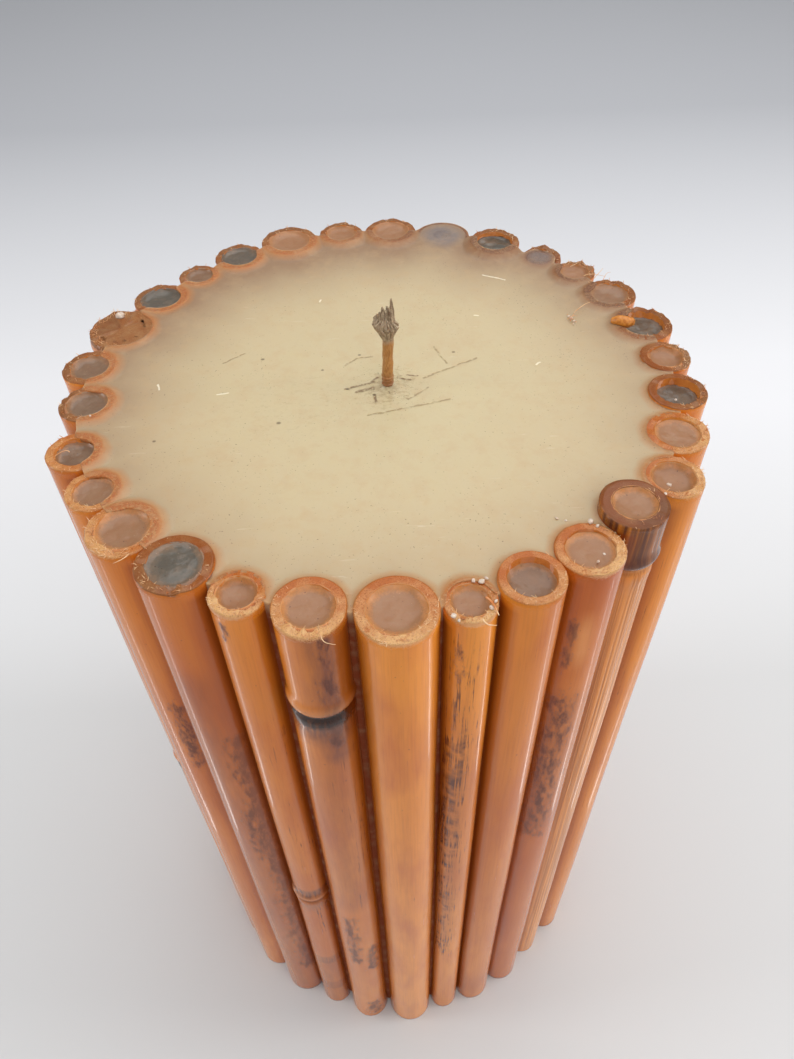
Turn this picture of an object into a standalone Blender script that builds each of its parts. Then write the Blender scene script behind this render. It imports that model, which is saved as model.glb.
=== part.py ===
"""Bamboo pillar candle: a wax pillar cast inside a ring of thirty upright bamboo canes.

Metres, +Z up. The origin is the centre of the underside, and the front of the candle is at -Y.
"""

from collections import namedtuple
from math import acos, asin, atan2, cos, pi, radians, sin

import bmesh
import bpy
from mathutils import Vector

MM = 0.001

# Driving dimensions, in metres.
WAX_HEIGHT = 178 * MM          # the level top of the wax above the table
CLEARANCE = 0.3 * MM           # left between pieces that touch on the real candle
FRONT_CANE_ANGLE = radians(-88.7)
CANE_SIDES = 20
WALL_PER_DIAMETER = 0.14       # thickness of a cane's wall
NODE_BULGE = 0.35 * MM         # how far a node stands out from the cane below and above it
NODE_LENGTH = 4 * MM
DIAPHRAGM = 1.6 * MM           # the wood that closes the bore at a node
BORE_WAX_FOOT = 0.5 * MM       # the wax in a bore stops this far above the table
SPILL_THICKNESS = 0.8 * MM     # the skin of wax over a cane that ends below the wax
SKIN = 0.05 * MM               # keeps two faces that are joined from lying in one plane
ARC_STEPS = 8

WICK_PLACE = Vector((1.6 * MM, -1.7 * MM, 0))
WICK_RADIUS = 0.9 * MM
TAB_RADIUS = 10 * MM
TAB_THICKNESS = 0.4 * MM
TAB_FOOT = 0.5 * MM            # the tab lies this far above the table
COLLAR_HEIGHT = 4.5 * MM
COLLAR_WALL = 0.5 * MM

# The canes, counter-clockwise from the front one, in millimetres:
#   diameter    across the widest point
#   rise        how far the cane's top stands above the wax
#   recess      how far the wax in the bore lies below the cane's top, or how the cane ends instead:
#               FLOODED canes lie under the wax of the pillar, SOLID ones are sawn through a node
#   stand_out   how far the cane stands out from the ring's circle
#   node        height of the cane's node above the table, 0 where it has none
#   gap_after   extra space between this cane and the next one
Cane = namedtuple("Cane", "diameter rise recess stand_out node gap_after", defaults=(0, 0, 0))
FLOODED = "flooded"
SOLID = "solid"
CANES = [
    Cane(10.8, 0.8, 0.7),
    Cane(7.2, 0.3, 0.8),
    Cane(9.0, 1.2, 1.6),
    Cane(9.3, 0.8, 0.7),
    Cane(9.6, 2.2, 0.8, -0.4, 171),
    Cane(8.8, 0.4, 1.2, 1.4),
    Cane(9.4, 0.5, 0.6),
    Cane(9.2, 0.8, 1.6),
    Cane(8.8, 0.6, 1.0, 0, 74),
    Cane(10.0, 0.5, 1.4),
    Cane(10.2, 0.4, 0.6, 0, 131),
    Cane(7.4, 0.5, 0.7),
    Cane(8.4, 0.6, FLOODED),
    Cane(10.4, 0.8, 1.2, 0, 52),
    Cane(10.3, -1.2, FLOODED),
    Cane(9.8, 0.5, 0.6),
    Cane(9.2, 0.5, 0.6, 0, 103),
    Cane(11.0, 0.6, 0.6),
    Cane(9.4, 0.3, 0.7),
    Cane(8.2, -0.1, 0.6, 0, 64),
    Cane(10.0, -0.4, 0.6),
    Cane(12.0, 0.2, SOLID, 0, 175),
    Cane(9.8, 0.2, 0.6, 0.6, 90),
    Cane(9.0, 0.3, 0.7, -1.2, 0, 2.2),
    Cane(9.2, 0.6, 1.2, 0.6, 88),
    Cane(8.4, 0.3, 0.7),
    Cane(10.4, 0.6, 0.7),
    Cane(10.4, 1.0, 0.4),
    Cane(8.3, 0.5, 1.2, 0, 79),
    Cane(10.4, 0.8, 0.8, 0, 160),
]
# A flooded cane whose outer side still shows is sawn at a slant, lower on its inner side.
SLANTED = {13: radians(16.6)}


# ---------------------------------------------------------------- layout of the ring

def spacing(index):
    """Distance between the centres of a cane and the one after it, round the ring."""
    here = CANES[index]
    after = CANES[(index + 1) % len(CANES)]
    return (here.diameter / 2 + after.diameter / 2 + here.gap_after) * MM + CLEARANCE


def steps_round(radius):
    """Angle from each cane to the next on a circle of this radius."""
    return [2 * asin(spacing(i) / (2 * radius)) for i in range(len(CANES))]


def closing_radius():
    """Radius on which the canes, side by side, close the ring."""
    small = 30 * MM
    large = 80 * MM
    for _ in range(50):
        radius = (small + large) / 2
        if sum(steps_round(radius)) > 2 * pi:
            small = radius
        else:
            large = radius
    return large


def cane_places(ring_radius):
    """Angle and centre of every cane."""
    places = []
    angle = FRONT_CANE_ANGLE
    for cane, step in zip(CANES, steps_round(ring_radius)):
        out = ring_radius + cane.stand_out * MM
        places.append((angle, Vector((out * cos(angle), out * sin(angle), 0))))
        angle += step
    return places


# ---------------------------------------------------------------- Blender helpers

def clear_scene():
    for thing in list(bpy.data.objects):
        bpy.data.objects.remove(thing, do_unlink=True)


def new_collection(name):
    collection = bpy.data.collections.new(name)
    bpy.context.scene.collection.children.link(collection)
    return collection


def material(name, colour, roughness, metallic=0.0):
    made = bpy.data.materials.new(name)
    made.use_nodes = True
    shader = made.node_tree.nodes["Principled BSDF"]
    shader.inputs["Base Color"].default_value = (*colour, 1.0)
    shader.inputs["Roughness"].default_value = roughness
    shader.inputs["Metallic"].default_value = metallic
    made.diffuse_color = (*colour, 1.0)
    return made


def add_object(name, data, collection, look=None):
    thing = bpy.data.objects.new(name, data)
    collection.objects.link(thing)
    if look:
        data.materials.append(look)
    return thing


def turned(name, profile, collection, look=None, sides=CANE_SIDES, closed=True):
    """A turned piece. The profile, (radius, height), runs down the outer side of the piece.

    A closed profile is a ring round a hole, and an open one starts and ends on the axis.
    """
    count = len(profile)
    edges = [(i, i + 1) for i in range(count - 1)]
    if closed:
        edges.append((count - 1, 0))
    mesh = bpy.data.meshes.new(name)
    mesh.from_pydata([(radius, 0, height) for radius, height in profile], edges, [])
    thing = add_object(name, mesh, collection, look)
    screw = thing.modifiers.new("turn", "SCREW")
    screw.steps = sides
    screw.render_steps = sides
    screw.use_merge_vertices = True
    screw.merge_threshold = 0.00001
    screw.use_smooth_shade = True
    return thing


def flat_outline(name, points, thickness, collection, look=None):
    """A flat piece, cut to an outline and centred on its own mid-plane."""
    curve = bpy.data.curves.new(name, "CURVE")
    curve.dimensions = "2D"
    curve.fill_mode = "BOTH"
    curve.extrude = thickness / 2
    spline = curve.splines.new("POLY")
    spline.points.add(len(points) - 1)
    for point, (x, y) in zip(spline.points, points):
        point.co = (x, y, 0, 1)
    spline.use_cyclic_u = True
    return add_object(name, curve, collection, look)


def as_mesh(thing):
    """Turn a curve object into a mesh object of the same name, with its caps welded on."""
    bpy.context.view_layer.update()
    evaluated = thing.evaluated_get(bpy.context.evaluated_depsgraph_get())
    mesh = bpy.data.meshes.new_from_object(evaluated)
    weld(mesh)
    name = thing.name
    collection = thing.users_collection[0]
    matrix = thing.matrix_world.copy()
    bpy.data.objects.remove(thing, do_unlink=True)
    made = add_object(name, mesh, collection)
    made.matrix_world = matrix
    return made


def weld(mesh):
    work = bmesh.new()
    work.from_mesh(mesh)
    bmesh.ops.remove_doubles(work, verts=work.verts, dist=0.000001)
    bmesh.ops.recalc_face_normals(work, faces=work.faces)
    work.to_mesh(mesh)
    work.free()


def boolean(thing, tool, operation):
    tool.hide_render = True
    tool.display_type = "WIRE"
    step = thing.modifiers.new(tool.name, "BOOLEAN")
    step.operation = operation
    step.solver = "EXACT"
    step.object = tool


# ---------------------------------------------------------------- canes

def outer_radius(cane):
    """Radius of the cane between its nodes."""
    bulge = NODE_BULGE if cane.node else 0
    return cane.diameter / 2 * MM - bulge


def bore_radius(cane):
    return outer_radius(cane) - cane.diameter * WALL_PER_DIAMETER * MM


def cane_profile(cane):
    """Half section of a cane, and whether it is a plain tube without a diaphragm."""
    top = WAX_HEIGHT + cane.rise * MM
    outer = outer_radius(cane)
    bore = bore_radius(cane)
    if not cane.node:
        return [(bore, top), (outer, top), (outer, 0), (bore, 0)], True
    node = cane.node * MM
    half = DIAPHRAGM / 2
    bulge = [(outer, node + NODE_LENGTH / 2), (outer + NODE_BULGE, node), (outer, node - NODE_LENGTH / 2)]
    below = [(outer, 0), (bore, 0), (bore, node - half), (0, node - half)]
    if cane.recess == SOLID:
        return [(0, top), (outer, top), *bulge, *below], False
    above = [(0, node + half), (bore, node + half), (bore, top), (outer, top)]
    return [*above, *bulge, *below], False


def add_cane(number, cane, angle, centre, collection, look):
    profile, plain_tube = cane_profile(cane)
    thing = turned(f"cane_{number:02d}", profile, collection, look, closed=plain_tube)
    thing.location = centre
    thing.rotation_euler.z = angle
    return thing


def saw_at_slant(thing, cane, angle, centre, slant, cutters):
    """Saw a cane's top off at a slant, high on the outside of the ring and low on the inside."""
    block = cane.diameter * 2 * MM
    outer_edge = centre + Vector((cos(angle), sin(angle), 0)) * outer_radius(cane)
    bpy.ops.mesh.primitive_cube_add(size=block)
    tool = bpy.context.object
    tool.name = f"{thing.name}_saw"
    for holder in tool.users_collection:
        holder.objects.unlink(tool)
    cutters.objects.link(tool)
    tool.rotation_euler = (0, -slant, angle)
    upward = Vector((-sin(slant) * cos(angle), -sin(slant) * sin(angle), cos(slant)))
    edge = Vector((outer_edge.x, outer_edge.y, WAX_HEIGHT + cane.rise * MM - SKIN))
    tool.location = edge + upward * block / 2
    boolean(thing, tool, "DIFFERENCE")


def add_bore_wax(number, cane, centre, collection, look):
    """The round stick of wax in a cane's bore, down to its node or to the foot."""
    top = WAX_HEIGHT + (cane.rise - cane.recess) * MM
    foot = cane.node * MM + DIAPHRAGM / 2 + CLEARANCE if cane.node else BORE_WAX_FOOT
    bpy.ops.mesh.primitive_cylinder_add(
        vertices=CANE_SIDES, radius=bore_radius(cane) - CLEARANCE, depth=top - foot)
    thing = bpy.context.object
    thing.name = f"bore_wax_{number:02d}"
    thing.data.name = thing.name
    thing.data.materials.append(look)
    for holder in thing.users_collection:
        holder.objects.unlink(thing)
    collection.objects.link(thing)
    thing.location = centre + Vector((0, 0, (top + foot) / 2))


# ---------------------------------------------------------------- wax pillar

def turn_towards_gap(radius, other_radius, distance):
    """Angle, off the line to a neighbour, where two circles cross; 0 where they stay apart."""
    along = (distance ** 2 + radius ** 2 - other_radius ** 2) / (2 * distance)
    return acos(along / radius) if along < radius else 0.0


def pillar_outline(places):
    """Outline of the pillar: the wax laps the inner half of every cane, with a cusp between canes."""
    radii = [cane.diameter / 2 * MM + CLEARANCE for cane in CANES]
    points = []
    for i, (angle, centre) in enumerate(places):
        before = places[i - 1][1] - centre
        after = places[(i + 1) % len(places)][1] - centre
        start = atan2(before.y, before.x) - turn_towards_gap(radii[i], radii[i - 1], before.length)
        end = atan2(after.y, after.x) + turn_towards_gap(
            radii[i], radii[(i + 1) % len(radii)], after.length)
        sweep = (start - end) % (2 * pi)
        last = ARC_STEPS if after.length > radii[i] + radii[(i + 1) % len(radii)] else ARC_STEPS - 1
        for step in range(last + 1):
            turn = start - sweep * step / ARC_STEPS
            points.append((centre.x + radii[i] * cos(turn), centre.y + radii[i] * sin(turn)))
    return points


def add_spill(number, cane, angle, centre, collection):
    """The wax in and over a flooded cane, which is one piece with the pillar."""
    bore = bore_radius(cane) - CLEARANCE
    half_width = bore if number in SLANTED else outer_radius(cane)
    inward = outer_radius(cane) + 1.5 * MM
    tongue = [(-inward, -0.8 * half_width), (-inward, 0.8 * half_width)]
    for step in range(ARC_STEPS + 1):
        turn = radians(125) - radians(250) * step / ARC_STEPS
        tongue.append((half_width * cos(turn), half_width * sin(turn)))
    skin = flat_outline(f"spill_{number:02d}", tongue, SPILL_THICKNESS - SKIN, collection)
    skin.location = centre + Vector((0, 0, WAX_HEIGHT - (SPILL_THICKNESS + SKIN) / 2))
    skin.rotation_euler.z = angle
    skin = as_mesh(skin)
    top = WAX_HEIGHT - SPILL_THICKNESS / 2
    stick = turned(f"flooded_bore_{number:02d}",
                   [(0, top), (bore, top), (bore, BORE_WAX_FOOT), (0, BORE_WAX_FOOT)],
                   collection, closed=False)
    stick.location = centre
    return skin, stick


def add_pillar(places, collection, cutters, look):
    pillar = flat_outline("wax_pillar", pillar_outline(places), WAX_HEIGHT, collection, look)
    pillar.location.z = WAX_HEIGHT / 2
    pillar = as_mesh(pillar)
    for number, (cane, (angle, centre)) in enumerate(zip(CANES, places), start=1):
        if cane.recess == FLOODED:
            skin, stick = add_spill(number, cane, angle, centre, cutters)
            boolean(pillar, skin, "UNION")
            boolean(pillar, stick, "UNION")
    boolean(pillar, add_wick_hole(cutters), "DIFFERENCE")


def add_wick_hole(cutters):
    """The hollow round the wick, its collar and its tab, from below the pillar to above it."""
    bore = WICK_RADIUS + CLEARANCE
    collar = bore + COLLAR_WALL + CLEARANCE
    collar_top = TAB_FOOT + TAB_THICKNESS + COLLAR_HEIGHT + CLEARANCE
    tab = TAB_RADIUS + CLEARANCE
    tab_top = TAB_FOOT + TAB_THICKNESS + CLEARANCE
    over = WAX_HEIGHT + 5 * MM
    under = -5 * MM
    hole = turned("wick_hole",
                  [(0, over), (bore, over), (bore, collar_top), (collar, collar_top),
                   (collar, tab_top), (tab, tab_top), (tab, under), (0, under)],
                  cutters, closed=False)
    hole.location = WICK_PLACE
    return hole


# ---------------------------------------------------------------- wick and tab

def add_tab(collection, look):
    """The pressed metal disc under the pillar, with the collar that is crimped on the wick."""
    bore = WICK_RADIUS + CLEARANCE
    collar = bore + COLLAR_WALL
    disc_top = TAB_FOOT + TAB_THICKNESS
    collar_top = disc_top + COLLAR_HEIGHT
    tab = turned("wick_tab",
                 [(bore, collar_top), (collar, collar_top), (collar, disc_top), (TAB_RADIUS, disc_top),
                  (TAB_RADIUS, TAB_FOOT), (bore, TAB_FOOT)],
                 collection, look, sides=24)
    tab.location = WICK_PLACE


def add_wick(collection, look):
    """The waxed cotton wick: a straight stem to its own level, then a slight lean and a frayed head."""
    above_wax = [
        # height above the wax, lean towards +X, thickness as a multiple of the stem's
        (0, 0, 1.0),
        (4.5, 0.1, 1.0),
        (8.2, 0.3, 0.9),
        (9.4, 0.2, 1.4),
        (11.3, -0.1, 2.4),
        (12.4, 0.1, 2.1),
        (13.6, 0.6, 1.0),
        (15.8, 0.9, 0.4),
    ]
    points = [(0, TAB_FOOT + TAB_THICKNESS, 1.0)]
    points += [(lean * MM, WAX_HEIGHT + height * MM, thick) for height, lean, thick in above_wax]
    curve = bpy.data.curves.new("wick", "CURVE")
    curve.dimensions = "3D"
    curve.bevel_depth = WICK_RADIUS
    curve.bevel_resolution = 3
    curve.use_fill_caps = True
    spline = curve.splines.new("POLY")
    spline.points.add(len(points) - 1)
    for point, (x, z, thick) in zip(spline.points, points):
        point.co = (x, 0, z, 1)
        point.radius = thick
    wick = add_object("wick", curve, collection, look)
    wick.location = WICK_PLACE


# ---------------------------------------------------------------- assembly

def build():
    clear_scene()
    candle = new_collection("bamboo_pillar_candle")
    cutters = new_collection("cutters")
    bamboo = material("bamboo", (0.56, 0.21, 0.07), 0.35)
    wax = material("wax", (0.66, 0.56, 0.33), 0.45)
    bore_wax = material("bore_wax", (0.36, 0.24, 0.17), 0.4)
    cotton = material("waxed_cotton", (0.36, 0.20, 0.08), 0.7)
    tin = material("tinned_steel", (0.62, 0.62, 0.60), 0.35, metallic=1.0)

    places = cane_places(closing_radius())
    for number, (cane, (angle, centre)) in enumerate(zip(CANES, places), start=1):
        thing = add_cane(number, cane, angle, centre, candle, bamboo)
        if number in SLANTED:
            saw_at_slant(thing, cane, angle, centre, SLANTED[number], cutters)
        if cane.recess not in (FLOODED, SOLID):
            add_bore_wax(number, cane, centre, candle, bore_wax)
    add_pillar(places, candle, cutters, wax)
    add_tab(candle, tin)
    add_wick(candle, cotton)


build()
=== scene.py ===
from math import atan2, cos, pi, radians, sin, tan

import bmesh
import bpy
import numpy as np
from mathutils import Matrix, Vector


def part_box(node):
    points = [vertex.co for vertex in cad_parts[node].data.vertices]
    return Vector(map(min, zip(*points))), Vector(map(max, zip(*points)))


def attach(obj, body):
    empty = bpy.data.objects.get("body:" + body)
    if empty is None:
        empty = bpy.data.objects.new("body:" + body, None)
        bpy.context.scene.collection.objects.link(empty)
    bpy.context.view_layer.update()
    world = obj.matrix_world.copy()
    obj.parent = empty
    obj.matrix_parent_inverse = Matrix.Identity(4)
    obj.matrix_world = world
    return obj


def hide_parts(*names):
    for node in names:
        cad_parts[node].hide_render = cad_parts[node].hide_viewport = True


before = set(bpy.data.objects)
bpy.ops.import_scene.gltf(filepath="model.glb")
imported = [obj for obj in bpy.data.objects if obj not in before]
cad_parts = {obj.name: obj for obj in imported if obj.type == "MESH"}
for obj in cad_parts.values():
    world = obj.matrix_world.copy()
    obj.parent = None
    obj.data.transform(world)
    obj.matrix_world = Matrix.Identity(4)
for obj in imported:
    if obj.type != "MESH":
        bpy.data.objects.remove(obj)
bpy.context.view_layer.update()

bpy.context.scene.view_settings.view_transform = "Standard"

# ---------------------------------------------------------------- canes
# Thirty lengths of river cane, smoked and oiled to an orange tan, stand side by side in a ring.
# Each is a hollow stem with a smooth skin. The saw leaves a ragged, paler end with torn fibres, and at
# a knot the stem swells, carries a dark scar and is closed inside by a wall of wood.
MM = 0.001
CANE_NUMBERS = range(1, 31)
KNOT_BULGE = 0.35 * MM
KNOT_WALL = 1.6 * MM
BORE_GAP = 0.3 * MM
COLUMNS = 44
KNOT_OF_SOLID_CANE = {22: 175 * MM}
FLOODED_CANES = (13, 15)
BORE_SHARE_OF_RADIUS = 0.72
SAWN_SLANT = {13: radians(16.6)}
BOW = 0.12 * MM
BOW_LENGTH = 178 * MM

# How each cane differs: tone runs from -1, dark and reddish, to 1, light and yellow; torn says how
# ragged its sawn end is, pale how much of that end is torn fibre, and dark how much darker the end is;
# the canes at the back all have dark ends.
CANE_TONES = {
    1: 0.7, 2: 0.45, 3: 0.15, 4: -0.45, 5: 1.0, 6: 0.5, 7: 0.35, 8: 0.2, 9: 0.1, 10: 0.0,
    11: 0.3, 12: 0.1, 13: 0.0, 14: -0.2, 15: 0.0, 16: 0.2, 17: 0.3, 18: 0.0, 19: -0.2, 20: -0.1,
    21: -0.3, 22: 0.3, 23: 0.1, 24: -0.1, 25: 0.1, 26: 0.25, 27: -0.15, 28: -0.5, 29: 0.05, 30: 0.2,
}
TORN_ENDS = {
    2: 1.0, 4: 0.7, 7: 0.4, 8: 0.8, 9: 1.3, 10: 1.3, 11: 0.8, 12: 1.2, 13: 1.2, 14: 0.8, 16: 0.7, 17: 0.7,
    18: 0.6, 19: 0.8, 20: 1.2, 21: 0.7, 22: 1.2, 23: 0.7, 24: 0.8, 25: 0.6, 26: 0.8, 27: 0.7, 28: 0.8,
    29: 1.1, 30: 0.7,
}
PALE_ENDS = {
    1: 0.75, 2: 0.95, 3: 0.35, 4: 0.75, 5: 0.1, 6: 0.7, 7: 0.6, 8: 0.3, 9: 0.6, 10: 0.2, 11: 0.3, 12: 0.6,
    22: 0.7, 25: 0.35, 26: 0.5, 27: 0.6, 28: 0.3, 29: 0.9, 30: 0.75,
}
DARK_ENDS = {5: 1.0, 28: 0.75, **{number: 0.8 for number in range(8, 25)}}

# Marks on the skin: kind, lowest and highest point in millimetres, side, spread and strength.
# The side is in degrees, counted from the front of the cane to its right.
CANE_MARKS = {
    1: [("flush", 138, 166, -8, 40, 0.8), ("flush", 30, 110, 5, 50, 0.5)],
    2: [("streak", 104, 150, -24, 60, 1.0), ("streak", 146, 176, -5, 70, 0.6),
        ("streak", 44, 106, -20, 60, 0.74), ("smoke", 55, 140, -30, 60, 0.5),
        ("stain", 163, 175, -15, 30, 0.7), ("stain", 118, 160, -10, 40, 0.5)],
    3: [("smoke", 6, 20, 10, 60, 0.2)],
    4: [("stain", 156, 171, 0, 14, 1.0), ("stain", 96, 152, 10, 60, 0.84), ("smoke", 100, 150, 0, 80, 0.6),
        ("tan", 159, 169, 22, 14, 1.0)],
    5: [("ribbed", 0, 171, 0, 180, 1.0), ("tan", 0, 170, 20, 180, 0.8),
        ("ash", 171.4, 174.4, 0, 180, 0.9)],
    6: [("streak", 40, 170, 0, 80, 0.25)],
    9: [("stain", 90, 140, 40, 50, 0.6)],
    11: [("streak", 30, 120, 0, 180, 0.5)],
    13: [("smoke", 20, 150, 0, 180, 0.5)],
    14: [("stain", 60, 150, 180, 70, 0.8)],
    16: [("streak", 40, 130, 180, 90, 0.7)],
    18: [("stain", 20, 80, 170, 60, 0.8), ("flush", 90, 170, 180, 90, 0.6)],
    19: [("smoke", 30, 160, 180, 120, 0.7)],
    21: [("stain", 100, 165, 150, 60, 0.75)],
    23: [("streak", 60, 150, 120, 90, 0.6)],
    25: [("streak", 100, 160, 0, 80, 0.3)],
    27: [("stain", 119, 143, -22, 26, 1.0), ("stain", 50, 66, -10, 25, 0.4)],
    28: [("stain", 76, 143, 18, 46, 1.08), ("stain", 92, 118, -12, 30, 0.95), ("stain", 18, 80, 18, 50, 1.0),
         ("smoke", 0, 160, -40, 50, 0.7), ("tan", 40, 178, 30, 40, 0.25)],
    29: [("stain", 172, 177, -48, 16, 0.9), ("streak", 60, 150, 25, 45, 0.4),
         ("ash", 80.8, 84.6, 0, 180, 1.0), ("ash", 35, 40, 0, 70, 0.7),
         ("streak", 58, 77, 10, 60, 0.5), ("smoke", 0, 36, 0, 180, 0.55), ("smoke", 12, 19, 0, 120, 1.1)],
    30: [("stain", 150, 180, 10, 24, 0.85), ("smoke", 146, 182, 10, 34, 1.3), 
         ("smoke", 84, 150, -5, 55, 0.55), ("stain", 46, 80, -24, 28, 0.98),
         ("stain", 40, 60, 24, 28, 0.98), ("stain", 1, 16, 8, 40, 0.95), ("streak", 80, 150, 30, 50, 0.4)],
}
SCAR_STRENGTH = {5: 0.1, 22: 0.3, 25: 1.0, 29: 0.45, 30: 1.0}


class Amount:
    """A number inside a node tree. Arithmetic on it adds Math nodes, so a formula reads as one."""

    def __init__(self, tree, socket):
        self.tree = tree
        self.socket = socket

    def by(self, operation, *others):
        made = self.tree.nodes.new("ShaderNodeMath")
        made.operation = operation
        for slot, value in zip(made.inputs, (self, *others)):
            feed(self.tree, slot, value)
        return Amount(self.tree, made.outputs[0])

    def __add__(self, other):
        return self.by("ADD", other)

    def __sub__(self, other):
        return self.by("SUBTRACT", other)

    def __rsub__(self, other):
        return self * -1.0 + other

    def __mul__(self, other):
        return self.by("MULTIPLY", other)

    def __truediv__(self, other):
        return self.by("DIVIDE", other)

    __radd__ = __add__
    __rmul__ = __mul__

    def ramp(self, low, high):
        """0 up to low and 1 from high on."""
        made = self.tree.nodes.new("ShaderNodeMapRange")
        feed(self.tree, made.inputs["Value"], self)
        feed(self.tree, made.inputs["From Min"], low)
        feed(self.tree, made.inputs["From Max"], high)
        return Amount(self.tree, made.outputs[0])

    def hump(self, centre, width):
        """1 at the centre, falling off smoothly on both sides."""
        off = (self - centre) / width
        return (off * off * -1.0).by("EXPONENT")


def feed(tree, slot, value):
    """Link or set one input of a node."""
    if isinstance(value, Amount):
        tree.links.new(value.socket, slot)
    elif isinstance(value, bpy.types.NodeSocket):
        tree.links.new(value, slot)
    else:
        slot.default_value = value


def put(tree, kind, inputs=None, **settings):
    """Add a node to a tree, with its settings and its inputs by name or number."""
    made = tree.nodes.new(kind)
    for name, value in settings.items():
        setattr(made, name, value)
    for name, value in (inputs or {}).items():
        slot = made.inputs[name]
        if isinstance(name, str):
            slot = next(s for s in made.inputs if s.name == name and s.enabled)
        feed(tree, slot, value)
    return made


def noise_at(tree, place, size, detail=2.0, roughness=0.5):
    """Noise from 0 to 1 whose lumps are about the given size."""
    made = put(tree, "ShaderNodeTexNoise",
               {"Vector": place, "Scale": 1.0 / size, "Detail": detail, "Roughness": roughness})
    return Amount(tree, made.outputs[0])


def noise_colour(tree, place, size):
    """Three noises at once, to push coordinates about."""
    made = put(tree, "ShaderNodeTexNoise", {"Vector": place, "Scale": 1.0 / size, "Detail": 2.0})
    return made.outputs["Color"]


def on_vectors(tree, operation, first, second):
    """Multiply or add two vectors part by part, or scale the first by a number."""
    slot = 3 if operation == "SCALE" else 1
    return put(tree, "ShaderNodeVectorMath", {0: first, slot: second}, operation=operation).outputs[0]


def parts_of(tree, place):
    """The x, y and z of a place."""
    return [Amount(tree, part) for part in put(tree, "ShaderNodeSeparateXYZ", {0: place}).outputs]


def vector(tree, x, y, z):
    return put(tree, "ShaderNodeCombineXYZ", {"X": x, "Y": y, "Z": z}).outputs[0]


def keep_number(tree, shape, name, value):
    """Store a number at every point, for the material to read."""
    made = put(tree, "GeometryNodeStoreNamedAttribute", {"Geometry": shape, "Name": name, "Value": value},
               data_type="FLOAT", domain="POINT")
    return made.outputs[0]


def number_kept(tree, name):
    """Read back, inside a geometry tree, a number stored at every point."""
    return Amount(tree, put(tree, "GeometryNodeInputNamedAttribute", {"Name": name}, data_type="FLOAT").outputs[0])


def new_tree(name, result, numbers, shape=None, counts=()):
    """An empty geometry tree with named inputs. Comes with those inputs, by name."""
    tree = bpy.data.node_groups.new(name, "GeometryNodeTree")
    tree.interface.new_socket(name=result, in_out="OUTPUT", socket_type="NodeSocketGeometry")
    if shape:
        tree.interface.new_socket(name=shape, in_out="INPUT", socket_type="NodeSocketGeometry")
    for number in numbers:
        tree.interface.new_socket(name=number, in_out="INPUT", socket_type="NodeSocketFloat")
    for count in counts:
        tree.interface.new_socket(name=count, in_out="INPUT", socket_type="NodeSocketInt")
    given = tree.nodes.new("NodeGroupInput")
    return tree, {slot.name: Amount(tree, slot) for slot in given.outputs if slot.name}


def dressed(tree, shape, look, smooth=True):
    """The end of every tree: smooth shading, real geometry and its material."""
    if smooth:
        shape = put(tree, "GeometryNodeSetShadeSmooth", {"Geometry": shape}).outputs[0]
    real = put(tree, "GeometryNodeRealizeInstances", {"Geometry": shape})
    return put(tree, "GeometryNodeSetMaterial", {"Geometry": real.outputs[0], "Material": look}).outputs[0]


def welded(tree, shape):
    """Join the edges of a rolled sheet and turn its faces outwards."""
    closed = put(tree, "GeometryNodeMergeByDistance", {"Geometry": shape, "Distance": 0.002 * MM})
    return put(tree, "GeometryNodeFlipFaces", {"Mesh": closed.outputs[0]}).outputs[0]


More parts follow.
